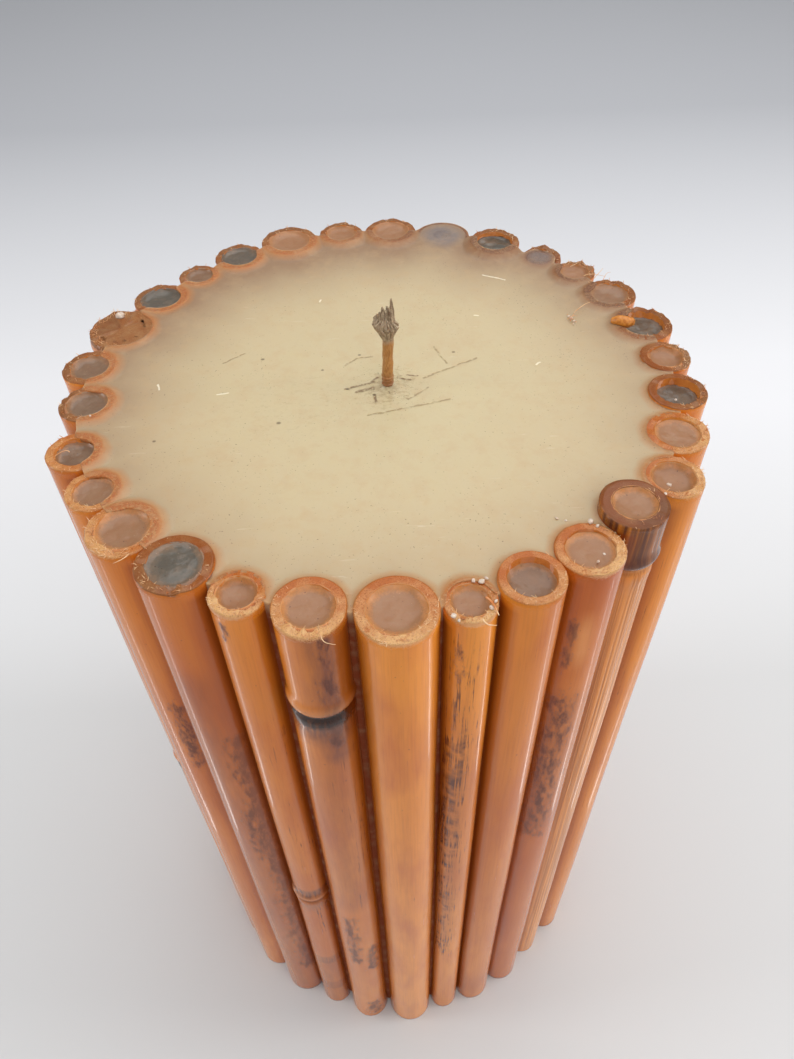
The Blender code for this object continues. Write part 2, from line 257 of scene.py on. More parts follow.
def cane_tree(skin, fibre):
    """Geometry nodes for one cane: a sheet rolled round and drawn along the section of the stem."""
    tree, size = new_tree("bamboo cane", "Cane", (
        "Centre X", "Centre Y", "Facing", "Foot", "Top", "Radius", "Bore", "Wood Radius", "Wood Top",
        "Wood Foot", "Knot", "Bulge", "Collar", "Slant", "Torn", "Fibres", "Seed"), counts=("Rows",))
    top, foot, outer, bore = size["Top"], size["Foot"], size["Radius"], size["Bore"]
    seed = size["Seed"]

    sheet = put(tree, "GeometryNodeMeshGrid",
                {"Size X": 1.0, "Size Y": 1.0, "Vertices X": COLUMNS + 1, "Vertices Y": size["Rows"]})
    spot = parts_of(tree, put(tree, "GeometryNodeInputPosition").outputs[0])
    turn = (spot[0] + 0.5) * (2 * pi)
    along = spot[1] + 0.5
    round_x = turn.by("COSINE")
    round_y = turn.by("SINE")

    # The section: out along the wall of wood, up the bore, over the sawn end, down the skin and back.
    # Each ramp says between which shares of the whole way round that stretch is walked.
    edge = 0.18 * MM
    at_skin = along.ramp(0.14, 0.155) - along.ramp(0.94, 0.96)
    at_end = along.ramp(0.095, 0.105) - along.ramp(0.145, 0.16)
    in_bore = 1.0 - along.ramp(0.09, 0.10) + along.ramp(0.96, 0.965)
    radius = (size["Wood Radius"] + (bore - size["Wood Radius"]) * along.ramp(0.0, 0.01)
              + (outer - bore - edge) * along.ramp(0.10, 0.14) + along.ramp(0.14, 0.155) * edge
              - (outer - bore) * along.ramp(0.94, 0.96)
              - (bore - size["Wood Radius"]) * along.ramp(0.99, 1.0))
    height = (size["Wood Top"] + (top - size["Wood Top"]) * along.ramp(0.01, 0.10)
              - along.ramp(0.14, 0.155) * edge - (top - foot - edge) * along.ramp(0.155, 0.94)
              + (size["Wood Foot"] - foot) * along.ramp(0.96, 0.99))

    # The stem is never quite round or even, and it swells at its knot. Its sawn edge is frayed.
    ring_place = vector(tree, round_x * 2.0 + seed, round_y * 2.0, seed)
    near_end = height.ramp(top - 1.8 * MM, top)
    from_knot = (height - size["Knot"]) / MM
    swell = (from_knot.hump(1.2, 1.1) * size["Bulge"] - from_knot.hump(-0.4, 0.5) * size["Bulge"] * 1.1
             + from_knot.hump(-2.4, 1.3) * size["Bulge"] * 0.3 + from_knot.ramp(0.0, 1.5) * size["Collar"])
    slow_place = vector(tree, round_x * outer + seed, round_y * outer, height * 0.22 + seed)
    uneven = (noise_at(tree, slow_place, 9 * MM, 0.0) - 0.5) * (0.3 * MM)
    frayed = (noise_at(tree, ring_place, 0.12) - 0.4) * near_end * size["Torn"] * (0.3 * MM)
    chipped = (noise_at(tree, ring_place, 0.5) - 0.5) * along.hump(0.1, 0.012) * size["Torn"] * (0.9 * MM)
    oval = (turn * 2.0 + seed * 9.0).by("COSINE") * (0.05 * MM)
    radius = radius + at_skin * (swell + uneven + oval + frayed) + chipped

    # The sawn end is torn on its outer side, and may be sawn at a slant.
    outward = (turn - size["Facing"]).by("COSINE")
    notches = (noise_at(tree, ring_place, 0.9) - 0.5) * 1.5 + (noise_at(tree, ring_place, 0.12) - 0.5) * 1.5
    off_centre = radius.ramp(0.0, 1.5 * MM)
    lift = notches * size["Torn"] * near_end * off_centre * (outward * 0.4 + 0.6) * (0.8 * MM)
    dip = size["Slant"] * (outer - radius * outward) * height.ramp(top - 9 * MM, top)

    # The numbers are worked out on the flat sheet, so they are stored before it is rolled.
    shape = sheet.outputs[0]
    for name, value in (("sawn", at_end), ("bore", in_bore), ("from_knot", from_knot),
                        ("outer_side", outward)):
        shape = keep_number(tree, shape, name, value)
    bow = (height * (pi / BOW_LENGTH)).by("SINE") * BOW
    rolled = put(tree, "GeometryNodeSetPosition", {
        "Geometry": shape,
        "Position": vector(tree, size["Centre X"] + radius * round_x + bow * (seed * 40.0).by("COSINE"),
                           size["Centre Y"] + radius * round_y + bow * (seed * 40.0).by("SINE"),
                           height + lift - dip)})
    stem = welded(tree, rolled.outputs[0])

    # Torn fibres stand on the sawn end.
    on_end = put(tree, "FunctionNodeCompare", {0: number_kept(tree, "sawn"), 1: 0.6}, data_type="FLOAT",
                 operation="GREATER_THAN")
    density = number_kept(tree, "outer_side").ramp(-0.6, 0.9) * size["Fibres"]
    points = put(tree, "GeometryNodeDistributePointsOnFaces", {
        "Mesh": stem, "Selection": on_end.outputs[0], "Density": density, "Seed": 7})
    hair = put(tree, "GeometryNodeMeshCone", {
        "Vertices": 4, "Radius Top": 0.015 * MM, "Radius Bottom": 0.065 * MM, "Depth": 0.6 * MM})
    tilt = put(tree, "FunctionNodeRandomValue", {
        "Min": (-1.25, -1.25, 0.0), "Max": (1.25, 1.25, 2 * pi), "Seed": 3}, data_type="FLOAT_VECTOR")
    length = put(tree, "FunctionNodeRandomValue", {"Min": 0.35, "Max": 1.1, "Seed": 5}, data_type="FLOAT")
    standing = put(tree, "GeometryNodeInstanceOnPoints", {
        "Points": points.outputs[0], "Instance": hair.outputs[0], "Rotation": tilt.outputs[0],
        "Scale": length.outputs[1]})
    whole = tree.nodes.new("GeometryNodeJoinGeometry")
    tree.links.new(dressed(tree, standing.outputs[0], fibre, smooth=False), whole.inputs[0])
    tree.links.new(dressed(tree, stem, skin), whole.inputs[0])
    put(tree, "NodeGroupOutput", {0: whole.outputs[0]})
    return tree


def set_down(name, data):
    """Put an object in the scene."""
    thing = bpy.data.objects.new(name, data)
    bpy.context.scene.collection.objects.link(thing)
    return thing


def grown(name, tree, sizes, start=None):
    """Run a geometry tree with these sizes, on what it starts from, and keep a plain mesh object."""
    thing = set_down(name, start or bpy.data.meshes.new(name))
    grow = thing.modifiers.new("grow", "NODES")
    grow.node_group = tree
    for item in tree.interface.items_tree:
        if item.in_out == "INPUT" and item.name in sizes:
            grow[item.identifier] = sizes[item.name]
    seen = bpy.context.evaluated_depsgraph_get()
    mesh = bpy.data.meshes.new_from_object(
        thing.evaluated_get(seen), preserve_all_data_layers=True, depsgraph=seen)
    bpy.data.objects.remove(thing)
    mesh.name = name
    return set_down(name, mesh)


def new_material(name):
    made = bpy.data.materials.new(name)
    made.use_nodes = True
    return made, made.node_tree, made.node_tree.nodes["Principled BSDF"]


def object_place(tree, across=1.0, along=1.0):
    """Object coordinates, squeezed so that a pattern is drawn out along the candle's height."""
    spot = tree.nodes.new("ShaderNodeTexCoord").outputs["Object"]
    return on_vectors(tree, "MULTIPLY", spot, (across, across, along))


def drawn_noise(tree, along, size, detail=2.0, roughness=0.5):
    """Noise on the skin whose lumps are the given size across, and drawn out along the cane."""
    return noise_at(tree, object_place(tree, 1.0, along), size, detail, roughness)


def kept(tree, name):
    """A number stored at the points of the piece."""
    return Amount(tree, put(tree, "ShaderNodeAttribute", attribute_name=name).outputs["Fac"])


def mixed(tree, share, first, second):
    """Two colours, mixed; share is how much of the second there is."""
    made = put(tree, "ShaderNodeMix", data_type="RGBA")
    feed(tree, made.inputs[0], share)
    feed(tree, made.inputs[6], first)
    feed(tree, made.inputs[7], second)
    return made.outputs[2]


def rgb(red, green, blue):
    """A colour as a paint chart gives it, 0 to 255, turned into light."""
    light = [(part / 255 / 12.92) if part < 10.3 else ((part / 255 + 0.055) / 1.055) ** 2.4
             for part in (red, green, blue)]
    return (*light, 1.0)


def let_light_in(shader, weight, colours, depth):
    """Let light soak into the material to about this depth."""
    shader.inputs["Subsurface Weight"].default_value = weight
    shader.inputs["Subsurface Radius"].default_value = colours
    shader.inputs["Subsurface Scale"].default_value = depth


def raise_surface(tree, shader, height, strength, distance=MM):
    """Bump the surface by a height."""
    bump = put(tree, "ShaderNodeBump", {"Strength": strength, "Distance": distance, "Height": height})
    feed(tree, shader.inputs["Normal"], bump.outputs[0])


def cane_skin_material():
    """Oiled cane: drawn-out grain, flushes of red, stains, smoke, the scar at a knot, and the sawn end."""
    material, tree, shader = new_material("cane skin")
    spot = object_place(tree)
    drift = drawn_noise(tree, 0.25, 14 * MM)
    light_share = (kept(tree, "tone") * 0.5 + drift * 1.3 - 0.15).ramp(0.0, 1.0)
    colour = mixed(tree, light_share, rgb(184, 86, 14), rgb(238, 146, 44))
    grain = drawn_noise(tree, 0.03, 0.35 * MM, 3.0, 0.6)
    colour = mixed(tree, grain.ramp(0.45, 0.8) * 0.3, colour, rgb(164, 76, 22))
    flush = (drawn_noise(tree, 0.2, 3.5 * MM, 3.0) + kept(tree, "flush") * 0.35).ramp(0.5, 0.95)
    colour = mixed(tree, flush * 0.55, colour, rgb(180, 80, 26))

    # Brown smoke, dark mould stains, tan scuffs and black streaks.
    cloud = drawn_noise(tree, 0.2, 1.6 * MM, 4.0, 0.6)
    smoke = kept(tree, "smoke") * (cloud * 1.4)
    colour = mixed(tree, smoke.ramp(0.0, 1.3), colour, rgb(126, 64, 38))
    blot = drawn_noise(tree, 0.35, 1.2 * MM, 8.0, 0.74)
    stain = (blot + kept(tree, "stain") * 0.38 - 0.73).ramp(0.0, 0.17)
    colour = mixed(tree, stain * 0.88, colour, rgb(92, 34, 10))
    colour = mixed(tree, kept(tree, "tan") * (cloud * 0.5 + 0.5), colour, rgb(232, 154, 86))
    by_column = noise_colour(tree, object_place(tree, 1.0, 0.015), 0.3 * MM)
    warp = on_vectors(tree, "MULTIPLY", by_column, (0.3 * MM, 0.3 * MM, 20 * MM))
    squeezed = on_vectors(tree, "MULTIPLY", on_vectors(tree, "ADD", spot, warp), (1.0, 1.0, 0.035))
    line = noise_at(tree, squeezed, 0.34 * MM, 4.0, 0.62)
    streak = (line + kept(tree, "streak") * 0.3 - 0.70).ramp(0.0, 0.07)
    patchy = noise_at(tree, spot, 3 * MM).ramp(0.35, 0.6)
    colour = mixed(tree, streak * patchy * 0.9, colour, rgb(82, 32, 12))
    fleck = drawn_noise(tree, 0.7, 0.55 * MM, 1.0)
    colour = mixed(tree, fleck.ramp(0.76, 0.80) * 0.45, colour, rgb(110, 58, 40))

    # The scar: a pale lip, which is a painted highlight on the swelling above the knot, a charred black ring under it,
    # and a brown band of short dashes below.
    away = kept(tree, "from_knot")
    scar = kept(tree, "scar")
    dashes = drawn_noise(tree, 0.12, 0.45 * MM).ramp(0.35, 0.65)
    # Painted highlight: the swelling above the knot is painted paler.
    colour = mixed(tree, away.hump(1.5, 0.8) * 0.4, colour, rgb(214, 148, 96))
    ragged_edge = (noise_at(tree, spot, 1.2 * MM) - 0.5) * 1.4
    band = (away + ragged_edge * 1.6).ramp(-9.0, -3.4) * (1.0 - away.ramp(-1.0, -0.6))
    colour = mixed(tree, band * scar * (dashes * 0.5 + 0.5), colour, rgb(112, 64, 44))
    groove = away.hump(-0.45, 0.75).ramp(0.2, 0.7)
    colour = mixed(tree, groove * (scar * 0.5 + 0.2), colour, rgb(34, 18, 12))
    char = (away + ragged_edge * 0.7).ramp(-3.5, -2.4) * (1.0 - away.ramp(-0.3, 0.1)) * scar.ramp(0.5, 1.0)
    colour = mixed(tree, char * (dashes * 0.2 + 0.8), colour, rgb(38, 14, 4))
    ash = kept(tree, "ash") * (dashes * 0.5 + 0.4)
    colour = mixed(tree, ash, colour, rgb(98, 56, 36))
    ribs = drawn_noise(tree, 0.01, 0.5 * MM).ramp(0.42, 0.62)
    colour = mixed(tree, kept(tree, "ribbed") * ribs * 0.6, colour, rgb(160, 92, 40))
    stripe = drawn_noise(tree, 0.04, 0.6 * MM).ramp(0.3, 0.6)
    colour = mixed(tree, kept(tree, "collar") * (stripe * 0.5 + 0.45), colour, rgb(84, 44, 32))

    # Painted shade, partly wax and dirt: the sides where two canes touch are browned.
    colour = mixed(tree, kept(tree, "groove") * 0.75, colour, rgb(140, 58, 8))

    # The sawn end shows amber wood full of pale torn fibre, and the bore is dark.
    pith = noise_at(tree, spot, 0.16 * MM, 3.0, 0.7)
    soaked = noise_at(tree, spot, 1.8 * MM)
    end_share = (soaked * 0.8 + pith * 0.6 + kept(tree, "pale") * 0.75 - 0.5).ramp(0.15, 0.85)
    end_colour = mixed(tree, end_share, rgb(194, 104, 36), rgb(238, 186, 124))
    end_colour = mixed(tree, pith.ramp(0.3, 0.45) * -1.0 + 1.0, end_colour, rgb(156, 78, 26))
    end_colour = mixed(tree, kept(tree, "dark_end") * 0.8, end_colour, rgb(98, 54, 28))
    frayed = (kept(tree, "lip") + (pith - 0.5) * 1.1).ramp(0.4, 0.6)
    colour = mixed(tree, frayed * 0.85, colour, mixed(tree, pith, rgb(204, 120, 66), rgb(250, 204, 150)))
    colour = mixed(tree, kept(tree, "sawn").ramp(0.3, 0.8), colour, end_colour)
    colour = mixed(tree, kept(tree, "bore").ramp(0.2, 0.9), colour, rgb(150, 66, 22))
    feed(tree, shader.inputs["Base Color"], colour)

    feed(tree, shader.inputs["Roughness"],
         (grain * 0.14 + kept(tree, "sawn") * 0.3 + stain * 0.15 + 0.17).ramp(0.0, 1.0))
    shader.inputs["Specular IOR Level"].default_value = 0.12
    shader.inputs["Coat Weight"].default_value = 0.4
    shader.inputs["Coat Roughness"].default_value = 0.04
    relief = (grain * 0.03 - kept(tree, "ribbed") * ribs * 0.12 + drawn_noise(tree, 0.2, 1.2 * MM) * 0.05
              + pith * kept(tree, "sawn") * 0.9 - streak * 0.02)
    raise_surface(tree, shader, relief, 0.6)
    return material


def torn_fibre_material():
    """Torn fibre: pale straw where it is dry, amber where wax has soaked in."""
    material, tree, shader = new_material("torn fibre")
    soaked = noise_at(tree, object_place(tree), 2.5 * MM, 1.0).ramp(0.4, 0.65)
    feed(tree, shader.inputs["Base Color"], mixed(tree, soaked, rgb(238, 198, 150), rgb(204, 122, 62)))
    shader.inputs["Roughness"].default_value = 0.55
    return material


def band_share(values, low, high, soft):
    """1 between low and high, with soft ends."""
    rise = np.clip((values - low) / soft + 0.5, 0, 1)
    fall = np.clip((high - values) / soft + 0.5, 0, 1)
    return rise * fall


def keep_at_points(mesh, name, values):
    """Store one number for every point of a mesh."""
    layer = mesh.attributes.new(name, "FLOAT", "POINT")
    layer.data.foreach_set("value", np.asarray(values, dtype=np.float32))


def mark_cane(mesh, number, centre, top, has_knot):
    """Store the cane's own tone and marks at its points, and the painted shade where its neighbours touch it."""
    count = len(mesh.vertices)
    points = np.empty(count * 3)
    mesh.vertices.foreach_get("co", points)
    points = points.reshape(-1, 3)
    heights = points[:, 2] / MM
    turns = np.arctan2(points[:, 1] - centre.y, points[:, 0] - centre.x)
    front = atan2(-110 * MM - centre.y, -centre.x)
    marks = {name: np.zeros(count) for name in ("flush", "smoke", "stain", "streak", "tan", "ribbed", "ash")}
    for kind, low, high, side, spread, strength in CANE_MARKS.get(number, ()):
        off = np.degrees(np.angle(np.exp(1j * (turns - front - radians(side)))))
        across = np.exp(-(off / spread) ** 2)
        share = strength * across * band_share(heights, low, high, 5 if high - low > 8 else 1.5)
        marks[kind] = np.maximum(marks[kind], share)
    marks["tone"] = np.full(count, CANE_TONES[number])
    outward = np.degrees(np.abs(np.angle(np.exp(1j * (turns - atan2(centre.y, centre.x))))))
    # Painted shade on the sides and the inside of the cane, where its neighbours shade it, below the sawn end.
    marks["groove"] = np.clip((outward - 48) / 32, 0, 1) * (heights < top / MM - 1.5)
    marks["pale"] = PALE_ENDS.get(number, 0.35) * np.clip(1.25 - outward / 100, 0.0, 1)
    marks["scar"] = np.full(count, SCAR_STRENGTH.get(number, 0.6) if has_knot else 0.0)
    marks["collar"] = band_share(heights, 171.6, 190, 0.6) if number == 5 else np.zeros(count)
    if number in KNOT_OF_SOLID_CANE:
        mesh.attributes["bore"].data.foreach_set("value", np.zeros(count, dtype=np.float32))
        mesh.attributes["sawn"].data.foreach_set("value", (heights > top / MM - 1.2).astype(np.float32))
        marks["pale"] = np.full(count, 0.35)
    dark_end = DARK_ENDS.get(number, 0.0)
    marks["dark_end"] = dark_end * np.clip(1.5 - outward / 90, 0.8 if dark_end > 0.7 else 0.0, 1)
    marks["lip"] = np.clip(1.0 - (top / MM - heights) / 1.6, 0, 1) * np.clip(marks["pale"], 0, 1)
    for name, values in marks.items():
        keep_at_points(mesh, name, values)


torn_fibre = torn_fibre_material()
bamboo_tree = cane_tree(cane_skin_material(), torn_fibre)
wax_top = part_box("wax_pillar")[1].z
canes = {}

for number in CANE_NUMBERS:
    name = f"cane_{number:02d}"
    low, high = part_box(name)
    centre = (low + high) / 2
    widest = max(high.x - low.x, high.y - low.y) / 2
    knot = KNOT_OF_SOLID_CANE.get(number)
    bore = None
    if number not in FLOODED_CANES and not knot:
        wax_low, wax_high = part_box(f"bore_wax_{number:02d}")
        bore = max(wax_high.x - wax_low.x, wax_high.y - wax_low.y) / 2 + BORE_GAP
        if wax_low.z > 5 * MM:
            knot = wax_low.z - BORE_GAP - KNOT_WALL / 2
    radius = widest - KNOT_BULGE if knot else widest
    bore = bore or radius * BORE_SHARE_OF_RADIUS
    canes[number] = {"centre": centre, "radius": radius, "bore": bore, "top": high.z, "knot": knot}
    solid_end = number in KNOT_OF_SOLID_CANE
    cane = grown(f"{name}_stem", bamboo_tree, {
        "Centre X": centre.x, "Centre Y": centre.y, "Facing": atan2(centre.y, centre.x),
        "Foot": low.z, "Top": high.z, "Radius": radius, "Bore": bore,
        "Wood Radius": 0.0 if knot else bore,
        "Wood Top": high.z if solid_end else knot + KNOT_WALL / 2 if knot else 20 * MM,
        "Wood Foot": knot - KNOT_WALL / 2 if knot else 20 * MM,
        "Knot": knot or -1.0, "Bulge": KNOT_BULGE if knot else 0.0,
        "Collar": KNOT_BULGE * 0.8 if number == 5 else 0.0,
        "Slant": tan(SAWN_SLANT.get(number, 0.0)),
        "Torn": TORN_ENDS.get(number, 0.3),
        "Fibres": 9.0e6 * PALE_ENDS.get(number, 0.2), "Seed": number * 0.173,
        "Rows": 401 if knot else 201,
    })
    mark_cane(cane.data, number, centre, high.z, bool(knot))
    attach(cane, "root")
    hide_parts(name)

# ---------------------------------------------------------------- wick tab
# A disc pressed from thin tinned steel sits in a recess under the pillar. Its rim is rolled and its
# short collar is crimped on the wick with four dents.
tab_low, tab_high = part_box("wick_tab")
wick_place = (tab_low + tab_high) / 2
TAB_SECTION = [
    # radius and height in millimetres, once round the section
    (1.2, 5.3), (1.45, 5.4), (1.7, 5.3), (1.7, 1.6), (2.1, 1.05), (3.0, 0.9), (8.8, 0.9), (9.4, 1.05),
    (9.85, 1.0), (10.0, 0.75), (9.85, 0.5), (9.3, 0.55), (8.8, 0.5), (3.0, 0.5), (1.6, 0.65), (1.2, 1.2),
]


def turned_ring(name, section, sides, dents=None):
    """A closed ring turned from a section of (radius, height) in millimetres."""
    turns = np.linspace(0, 2 * pi, sides, endpoint=False)
    points = []
    for radius, height in section:
        for turn in turns:
            reach = radius + (dents(turn, radius, height) if dents else 0)
            points.append((reach * cos(turn) * MM, reach * sin(turn) * MM, height * MM))
    faces = []
    rows = len(section)
    for row in range(rows):
        above = (row + 1) % rows
        for side in range(sides):
            after = (side + 1) % sides
            faces.append((row * sides + side, above * sides + side,
                          above * sides + after, row * sides + after))
    mesh = bpy.data.meshes.new(name)
    mesh.from_pydata(points, [], faces)
    form = bmesh.new()
    form.from_mesh(mesh)
    bmesh.ops.recalc_face_normals(form, faces=form.faces)
    form.to_mesh(mesh)
    form.free()
    mesh.shade_smooth()
    return set_down(name, mesh)


def crimp(turn, radius, height):
    """Four dents press the collar on the wick between 2.5 and 4.5 mm up."""
    if radius > 2 or height < 1.6:
        return 0
    return -0.22 * max(0.0, cos(4 * turn)) ** 2 * (1 if height > 4 else 0.3)


tab = turned_ring("wick_tab_disc", TAB_SECTION, 72, crimp)
tab.data.transform(Matrix.Translation((wick_place.x, wick_place.y, 0)))
tin, tree, shader = new_material("tinned steel")
spangle = noise_at(tree, object_place(tree), 2.2 * MM, 1.0)
rust = noise_at(tree, object_place(tree), 1.2 * MM, 5.0, 0.7).ramp(0.62, 0.72)
colour = mixed(tree, spangle.ramp(0.35, 0.65), rgb(186, 188, 186), rgb(206, 207, 203))
feed(tree, shader.inputs["Base Color"], mixed(tree, rust * 0.5, colour, rgb(122, 96, 74)))
feed(tree, shader.inputs["Roughness"], spangle * 0.15 + rust * 0.3 + 0.22)
shader.inputs["Metallic"].default_value = 1.0
raise_surface(tree, shader, drawn_noise(tree, 8.0, 0.5 * MM), 0.3, 0.05 * MM)
tab.data.materials.append(tin)
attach(tab, "root")
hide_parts("wick_tab")

# ---------------------------------------------------------------- wick
# Three plies of cotton yarn, twisted and soaked in wax, run from the tab to 16 mm above the pillar.
# The wax has worn off the last eight millimetres and the fibres there have frayed to a grey-brown knob.
YARN_TURN = 14 * MM
random_place = np.random.default_rng(12)


def wick_lean(height):
    """How far the wick leans towards +X at a height above the wax."""
    return 0.25 * MM * max(0.0, min(1.0, height / (8 * MM))) ** 1.6


def random_push(tree, lump, reach):
    """A push in any direction that changes over lumps of this size."""
    noise = noise_colour(tree, put(tree, "GeometryNodeInputPosition").outputs[0], lump)
    return on_vectors(tree, "SCALE", on_vectors(tree, "ADD", noise, (-0.5, -0.5, -0.5)), reach)


def yarn_tree(look):
    """Turn every path in a curve object into a strand of its own thickness."""
    tree, size = new_tree("yarn", "Strands", ("Fuzz",), shape="Paths")
    moved = put(tree, "GeometryNodeSetPosition",
                {"Geometry": size["Paths"], "Offset": random_push(tree, MM / 1.4, size["Fuzz"])})
    profile = put(tree, "GeometryNodeCurvePrimitiveCircle", {"Resolution": 7, "Radius": 1.0})
    swept = put(tree, "GeometryNodeCurveToMesh", {
        "Curve": moved.outputs[0], "Profile Curve": profile.outputs[0],
        "Scale": put(tree, "GeometryNodeInputRadius").outputs[0], "Fill Caps": True})
    put(tree, "NodeGroupOutput", {0: dressed(tree, swept.outputs[0], look)})
    return tree


def strands(name, paths, look, fuzz=0.0):
    """Paths are lists of (point, radius). They become one mesh object."""
    curve = bpy.data.curves.new(name, "CURVE")
    curve.dimensions = "3D"
    for path in paths:
        spline = curve.splines.new("POLY")
        spline.points.add(len(path) - 1)
        for point, (spot, radius) in zip(spline.points, path):
            point.co = (*spot, 1)
            point.radius = radius
    return grown(name, yarn_tree(look), {"Fuzz": fuzz}, curve)


cotton, tree, shader = new_material("waxed cotton")
spot = object_place(tree)
above = parts_of(tree, spot)[2] - wax_top
matting = noise_at(tree, spot, 0.5 * MM, 4.0, 0.7)
fine = drawn_noise(tree, 0.25, 0.16 * MM)
waxed = mixed(tree, fine.ramp(0.3, 0.7), rgb(164, 104, 50), rgb(196, 142, 82))
waxed = mixed(tree, (1.0 - above.ramp(0.9 * MM, 2.8 * MM)) * 0.75, waxed, rgb(146, 96, 60))
dry = mixed(tree, matting.ramp(0.3, 0.7), rgb(122, 98, 76), rgb(202, 178, 148))
knob = (above + (matting - 0.5) * (1.2 * MM)).ramp(7.9 * MM, 8.9 * MM)
feed(tree, shader.inputs["Base Color"], mixed(tree, knob, waxed, dry))
feed(tree, shader.inputs["Roughness"], knob * 0.45 + 0.38)
let_light_in(shader, 0.15, (1.0, 0.5, 0.25), 0.6 * MM)
raise_surface(tree, shader, fine + matting, 0.5, 0.08 * MM)

core = []
for height in np.linspace(1.2 * MM, wax_top + 9.4 * MM, 90):
    lean = wick_lean(height - wax_top)
    swollen_foot = max(0.0, 1 - abs(height - wax_top - 1.0 * MM) / (1.2 * MM))
    wide = 0.84 + 0.05 * sin(height / MM * 1.3) + 0.10 * swollen_foot
    core.append(((wick_place.x + lean, wick_place.y, height), wide * MM))
paths = [core]
for ply in range(3):
    path = []
    for height in np.linspace(1.2 * MM, wax_top + 9.2 * MM, 260):
        turn = 2 * pi * (ply / 3 + height / YARN_TURN)
        lean = wick_lean(height - wax_top)
        reach = 0.36 * MM
        path.append(((wick_place.x + lean + reach * cos(turn), wick_place.y + reach * sin(turn), height),
                     0.53 * MM))
    paths.append(path)
# Folds of the waxed skin have slid down and gathered at the foot.
for fold in (0.5, 1.15, 1.9):
    path = []
    for turn in np.linspace(0, 2 * pi, 25):
        path.append(((wick_place.x + 0.78 * MM * cos(turn), wick_place.y + 0.78 * MM * sin(turn),
                      wax_top + (fold + 0.14 * sin(turn + fold * 3)) * MM), 0.19 * MM))
    paths.append(path)
# The knob opens like a cup, with a shoulder on each side, and tufts of fibre stand on it.
for _ in range(210):
    turn = random_place.uniform(0, 2 * pi)
    reach = random_place.uniform(0.35, 1.0) ** 0.5 * 2.0 * MM
    shoulder = 11.3 - 0.4 * cos(turn) + random_place.uniform(-0.3, 0.3)
    twist = random_place.uniform(-0.9, 0.9)
    thick = random_place.uniform(0.10, 0.2) * MM
    path = []
    for share in np.linspace(0, 1, 14):
        if share < 0.7:
            part = share / 0.7
            height = (7.9 + (shoulder - 7.9) * part) * MM
            out = 0.45 * MM + (reach - 0.45 * MM) * part ** 1.2
        else:
            part = (share - 0.7) / 0.3
            height = (shoulder + 0.9 * part) * MM
            out = reach * (1 - 0.6 * part ** 1.2)
        angle = turn + twist * share
        path.append(((wick_place.x + wick_lean(height) - 0.45 * MM * share + out * cos(angle),
                      wick_place.y + 0.8 * out * sin(angle), wax_top + height),
                     thick * (1 - 0.5 * share ** 4)))
    paths.append(path)
# Each tuft: where it stands, its height, and how wide it is.
for tuft_x, tuft_y, tuft_top, tuft_width in (
        (-1.55, -0.2, 13.3, 0.34), (-1.1, -0.5, 13.8, 0.36), (-0.55, -0.6, 14.3, 0.4), (-0.6, 0.4, 14.2, 0.4),
        (0.0, -0.4, 14.0, 0.34), (0.1, 0.5, 14.2, 0.34), (0.7, 0.0, 15.75, 0.42), (0.55, -0.45, 14.6, 0.3)):
    for _ in range(13):
        offset = random_place.uniform(-1, 1, 2) * tuft_width
        tip = tuft_top - random_place.uniform(0, 0.9)
        bend = random_place.uniform(-0.12, 0.12)
        path = []
        for share in np.linspace(0, 1, 8):
            close = 1 - 0.85 * share ** 1.5
            path.append(((wick_place.x + (0.2 + tuft_x + offset[0] * close + bend * share) * MM,
                          wick_place.y + (tuft_y + offset[1] * close) * MM,
                          wax_top + (11.2 + (tip - 11.2) * share) * MM), (0.17 - 0.12 * share) * MM))
        paths.append(path)
wick = strands("wick_yarn", paths, cotton, 0.35 * MM)
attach(wick, "root")
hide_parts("wick")

# ---------------------------------------------------------------- wax pillar
# Cream wax is poured inside the ring of canes. It wets their inner walls, climbs them a little and
# laps over the sawn ends of the lower ones; two canes were sawn short and drowned in it.
LAPPED_CANES = range(10, 28)
RIM_INSET = 0.5 * MM
CONTACT_RADIUS = 47.3 * MM
SPOKES = 1080
PILLAR_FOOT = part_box("wax_pillar")[0].z
inner_rows = np.array([0, 0.5, 0.85, 1.05, 1.3, 1.7, 2.3, 3.2, 4.5, 6.5, 9, 12, 15, 18, 21, 24, 27, 30,
                       33, 36, 38]) / 38
outer_rows = np.array([7, 6.2, 5.4, 4.7, 4.1, 3.6, 3.2, 2.85, 2.55, 2.3, 2.05, 1.8, 1.6, 1.4, 1.2, 1.0, 0.82,
                       0.66, 0.5, 0.36, 0.22, 0.1, 0.0]) * MM


def reach_to_circle(direction, centre, radius, far=False):
    """Distance along a ray from the wick to a circle, or None where it misses."""
    to_centre = Vector((centre.x - wick_place.x, centre.y - wick_place.y))
    along = to_centre.dot(direction)
    off = to_centre.length_squared - along * along
    if off > radius * radius or (along < 0 and not far):
        return None
    half = (radius * radius - off) ** 0.5
    return along + half if far else along - half


def wax_reach(direction, lapping):
    """How far the wax runs from the wick in this direction."""
    nearest = reach_to_circle(direction, Vector((0, 0)), CONTACT_RADIUS, far=True)
    for number in FLOODED_CANES if lapping else ():
        drowned_to = canes[number]["radius" if number == 15 else "bore"]
        flooded = reach_to_circle(direction, canes[number]["centre"], drowned_to + 0.1 * MM, far=True)
        if flooded and flooded > 0:
            return flooded
    for number, cane in canes.items():
        if lapping and number in FLOODED_CANES:
            continue
        laps = lapping and number in LAPPED_CANES and number != 22
        radius = cane["bore"] - 0.05 * MM if laps else cane["radius"] - RIM_INSET
        hit = reach_to_circle(direction, cane["centre"], radius)
        if hit:
            nearest = min(nearest, hit)
    return nearest


directions = [Vector((cos(turn), sin(turn))) for turn in np.linspace(0, 2 * pi, SPOKES, endpoint=False)]
lapped_edge = np.array([wax_reach(direction, True) for direction in directions])
walled_edge = np.array([wax_reach(direction, False) for direction in directions])
lapped_edge = (np.roll(lapped_edge, 1) + 2 * lapped_edge + np.roll(lapped_edge, -1)) / 4

